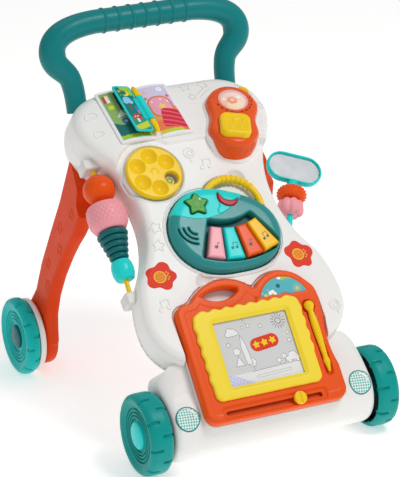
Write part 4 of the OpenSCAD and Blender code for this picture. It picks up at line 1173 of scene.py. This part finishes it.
piece("petals", relief(minus(petal_ring, circle(0, 0, POST_HOLE_R)),
                       lambda x, y, d: 44 - fillet(petal_ring(x, y), 8, 9),
                       lambda x, y, d: 23.1 + fillet(petal_ring(x, y), 8, 9), (-19, 19, -19, 19), 0.6), POST,
      PINK, "pink_ring", "petals", sharp=60)
piece("mirror_stem", lathe([(0, -10), (3.95, -10), (3.95, 72.8), (0, 72.8)], 40), POST, AQUA, "mirror_post")

# ---------- stickers ----------


def poppy(cx, cu, degrees):
    petals = placed(soft_union(6, circle(-6, 10, 7), circle(9, 8, 8.5), circle(12, -6, 6.5),
                               circle(0, -12, 7), circle(-12, -1, 7.5), circle(0, 0, 12)), cx, cu, degrees)
    disc = circle(cx - 1, cu, 6.6)
    seeds = either(*[circle(cx + 8.4 + 1.8 * (k % 2), cu - 4.8 + 2.4 * k, 0.85) for k in range(5)])
    return petals, paint("#e6402a", (outline(grow(disc, 0.6), 1.1), "#fbd53c"),
                         (both(disc, stripes(1.9, 0.7, 65)), "#fbd53c"), (seeds, "#fbd53c"))


for name, cx, cu, degrees in (("poppy_left", -95, 200, 20), ("poppy_right", 90, 196, -30)):
    petals, tint = poppy(cx, cu, degrees)
    piece(name, on_deck(petals, (cx - 22, cx + 22, cu - 22, cu + 22), 0.45, 0.35, 0.4, 0.3, 0.3), DECK,
          PRINT, tint=tint)

LAMP_Y, LAMP_Z, LAMP_R = -37.5, 78.5, 15.2
nose_normal, nose_up = (-0.725, 0.689), (0.689, 0.725)
glint = both(minus(circle(0, 0, 12), circle(0, 0, 10)), placed(box(-5, 5, 0, 14), 0, 0, -42))
lamp_tint = paint("#128f8c", (circle(0, 0, 13.6), "#f4fbf4"),
                  (both(circle(0, 0, 13.4), checks(2.3, 40)), "#6cc9c5"), (glint, "#ffffff"),
                  (circle(10, 1, 1.0), "#ffffff"))
for side, cx in (("left", -115.6), ("right", 115.6)):
    def lamp_height(a, b, cx=cx):
        """How far the bumper's nose stands out at the lamp, rounded off at the bumper's end."""
        h = np.zeros(np.shape(a))
        for _ in range(8):
            y = LAMP_Y + b * nose_up[0] + h * nose_normal[0]
            z = LAMP_Z + b * nose_up[1] + h * nose_normal[1]
            h = h - bumper_side(y, z)
        return h - fillet(np.abs(cx + a) - 134, 9)

    lamp = relief(circle(0, 0, LAMP_R), lambda a, b, d: lamp_height(a, b) + 0.4 - fillet(d, 0.5, 0.35),
                  lambda a, b, d: lamp_height(a, b) - 0.3, (-16, 16, -16, 16), 0.45)
    place = AXLE @ Matrix(((1, 0, 0, cx), (0, nose_up[0], nose_normal[0], LAMP_Y),
                           (0, nose_up[1], nose_normal[1], LAMP_Z), (0, 0, 0, 1)))
    piece("lamp_" + side, lamp, place, PRINT, tint=lamp_tint)

# ---------- pieces kept as they are in the CAD, with their own finish ----------
for node, material in {
        "screws": STEEL, "axles": STEEL, "panel_back": CREAM, "battery_door": CREAM, "dial_pin": CREAM,
        "circuit_board": COPPER_GREEN, "speaker": BLACK, "batteries": BATTERY, "bead_rod": YELLOW}.items():
    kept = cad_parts[node].data
    kept.materials.clear()
    kept.materials.append(material)
for node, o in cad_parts.items():
    if o.hide_render:
        o.data.materials.clear()
        o.data.materials.append(WHITE)

# ---------- studio ----------
scene = bpy.context.scene
world = bpy.data.worlds.new("studio")
world.use_nodes = True
sky = world.node_tree.nodes["Background"].inputs
sky["Color"].default_value = (1.0, 1.0, 1.0, 1.0)
sky["Strength"].default_value = 0.43
scene.world = world
floor_mesh = bpy.data.meshes.new("floor")
floor_mesh.from_pydata([(-15, -15, 0), (15, -15, 0), (15, 15, 0), (-15, 15, 0)], [], [(0, 1, 2, 3)])
floor = bpy.data.objects.new("floor", floor_mesh)
scene.collection.objects.link(floor)
floor_pale = shader("floor_pale", "#fbfbfa", 0.75, 0.01, 0.0, 0.0)
floor_surface = floor_pale.node_tree.nodes["Principled BSDF"].inputs
floor_surface["Emission Color"].default_value = (1.0, 1.0, 1.0, 1.0)
floor_surface["Emission Strength"].default_value = 0.42
floor_mesh.materials.append(floor_pale)


def lamp_area(name, at, aim, size, power):
    light = bpy.data.lights.new(name, "AREA")
    light.shape = "DISK"
    light.size = size
    light.energy = power
    o = bpy.data.objects.new(name, light)
    o.location = at
    o.rotation_euler = (Vector(aim) - Vector(at)).to_track_quat("-Z", "Y").to_euler()
    scene.collection.objects.link(o)


lamp_area("key", (0.75, -1.0, 2.3), (0, 0, 0.2), 0.9, 24)
lamp_area("fill", (-1.8, -1.4, 1.1), (0, 0, 0.25), 1.4, 1.5)
lamp_area("top", (-0.2, 0.9, 2.3), (0, 0, 0.2), 1.2, 3)

camera_data = bpy.data.cameras.new("camera")
camera_data.lens = 183.0
camera_data.sensor_width = 36.0
camera = bpy.data.objects.new("camera", camera_data)
camera.matrix_world = move(-1.2222, AXLE_Y / 1000 - 2.338, 1.3375) @ turn(-26, "Z") @ turn(68, "X")
scene.collection.objects.link(camera)
scene.camera = camera
scene.view_settings.view_transform = "Standard"
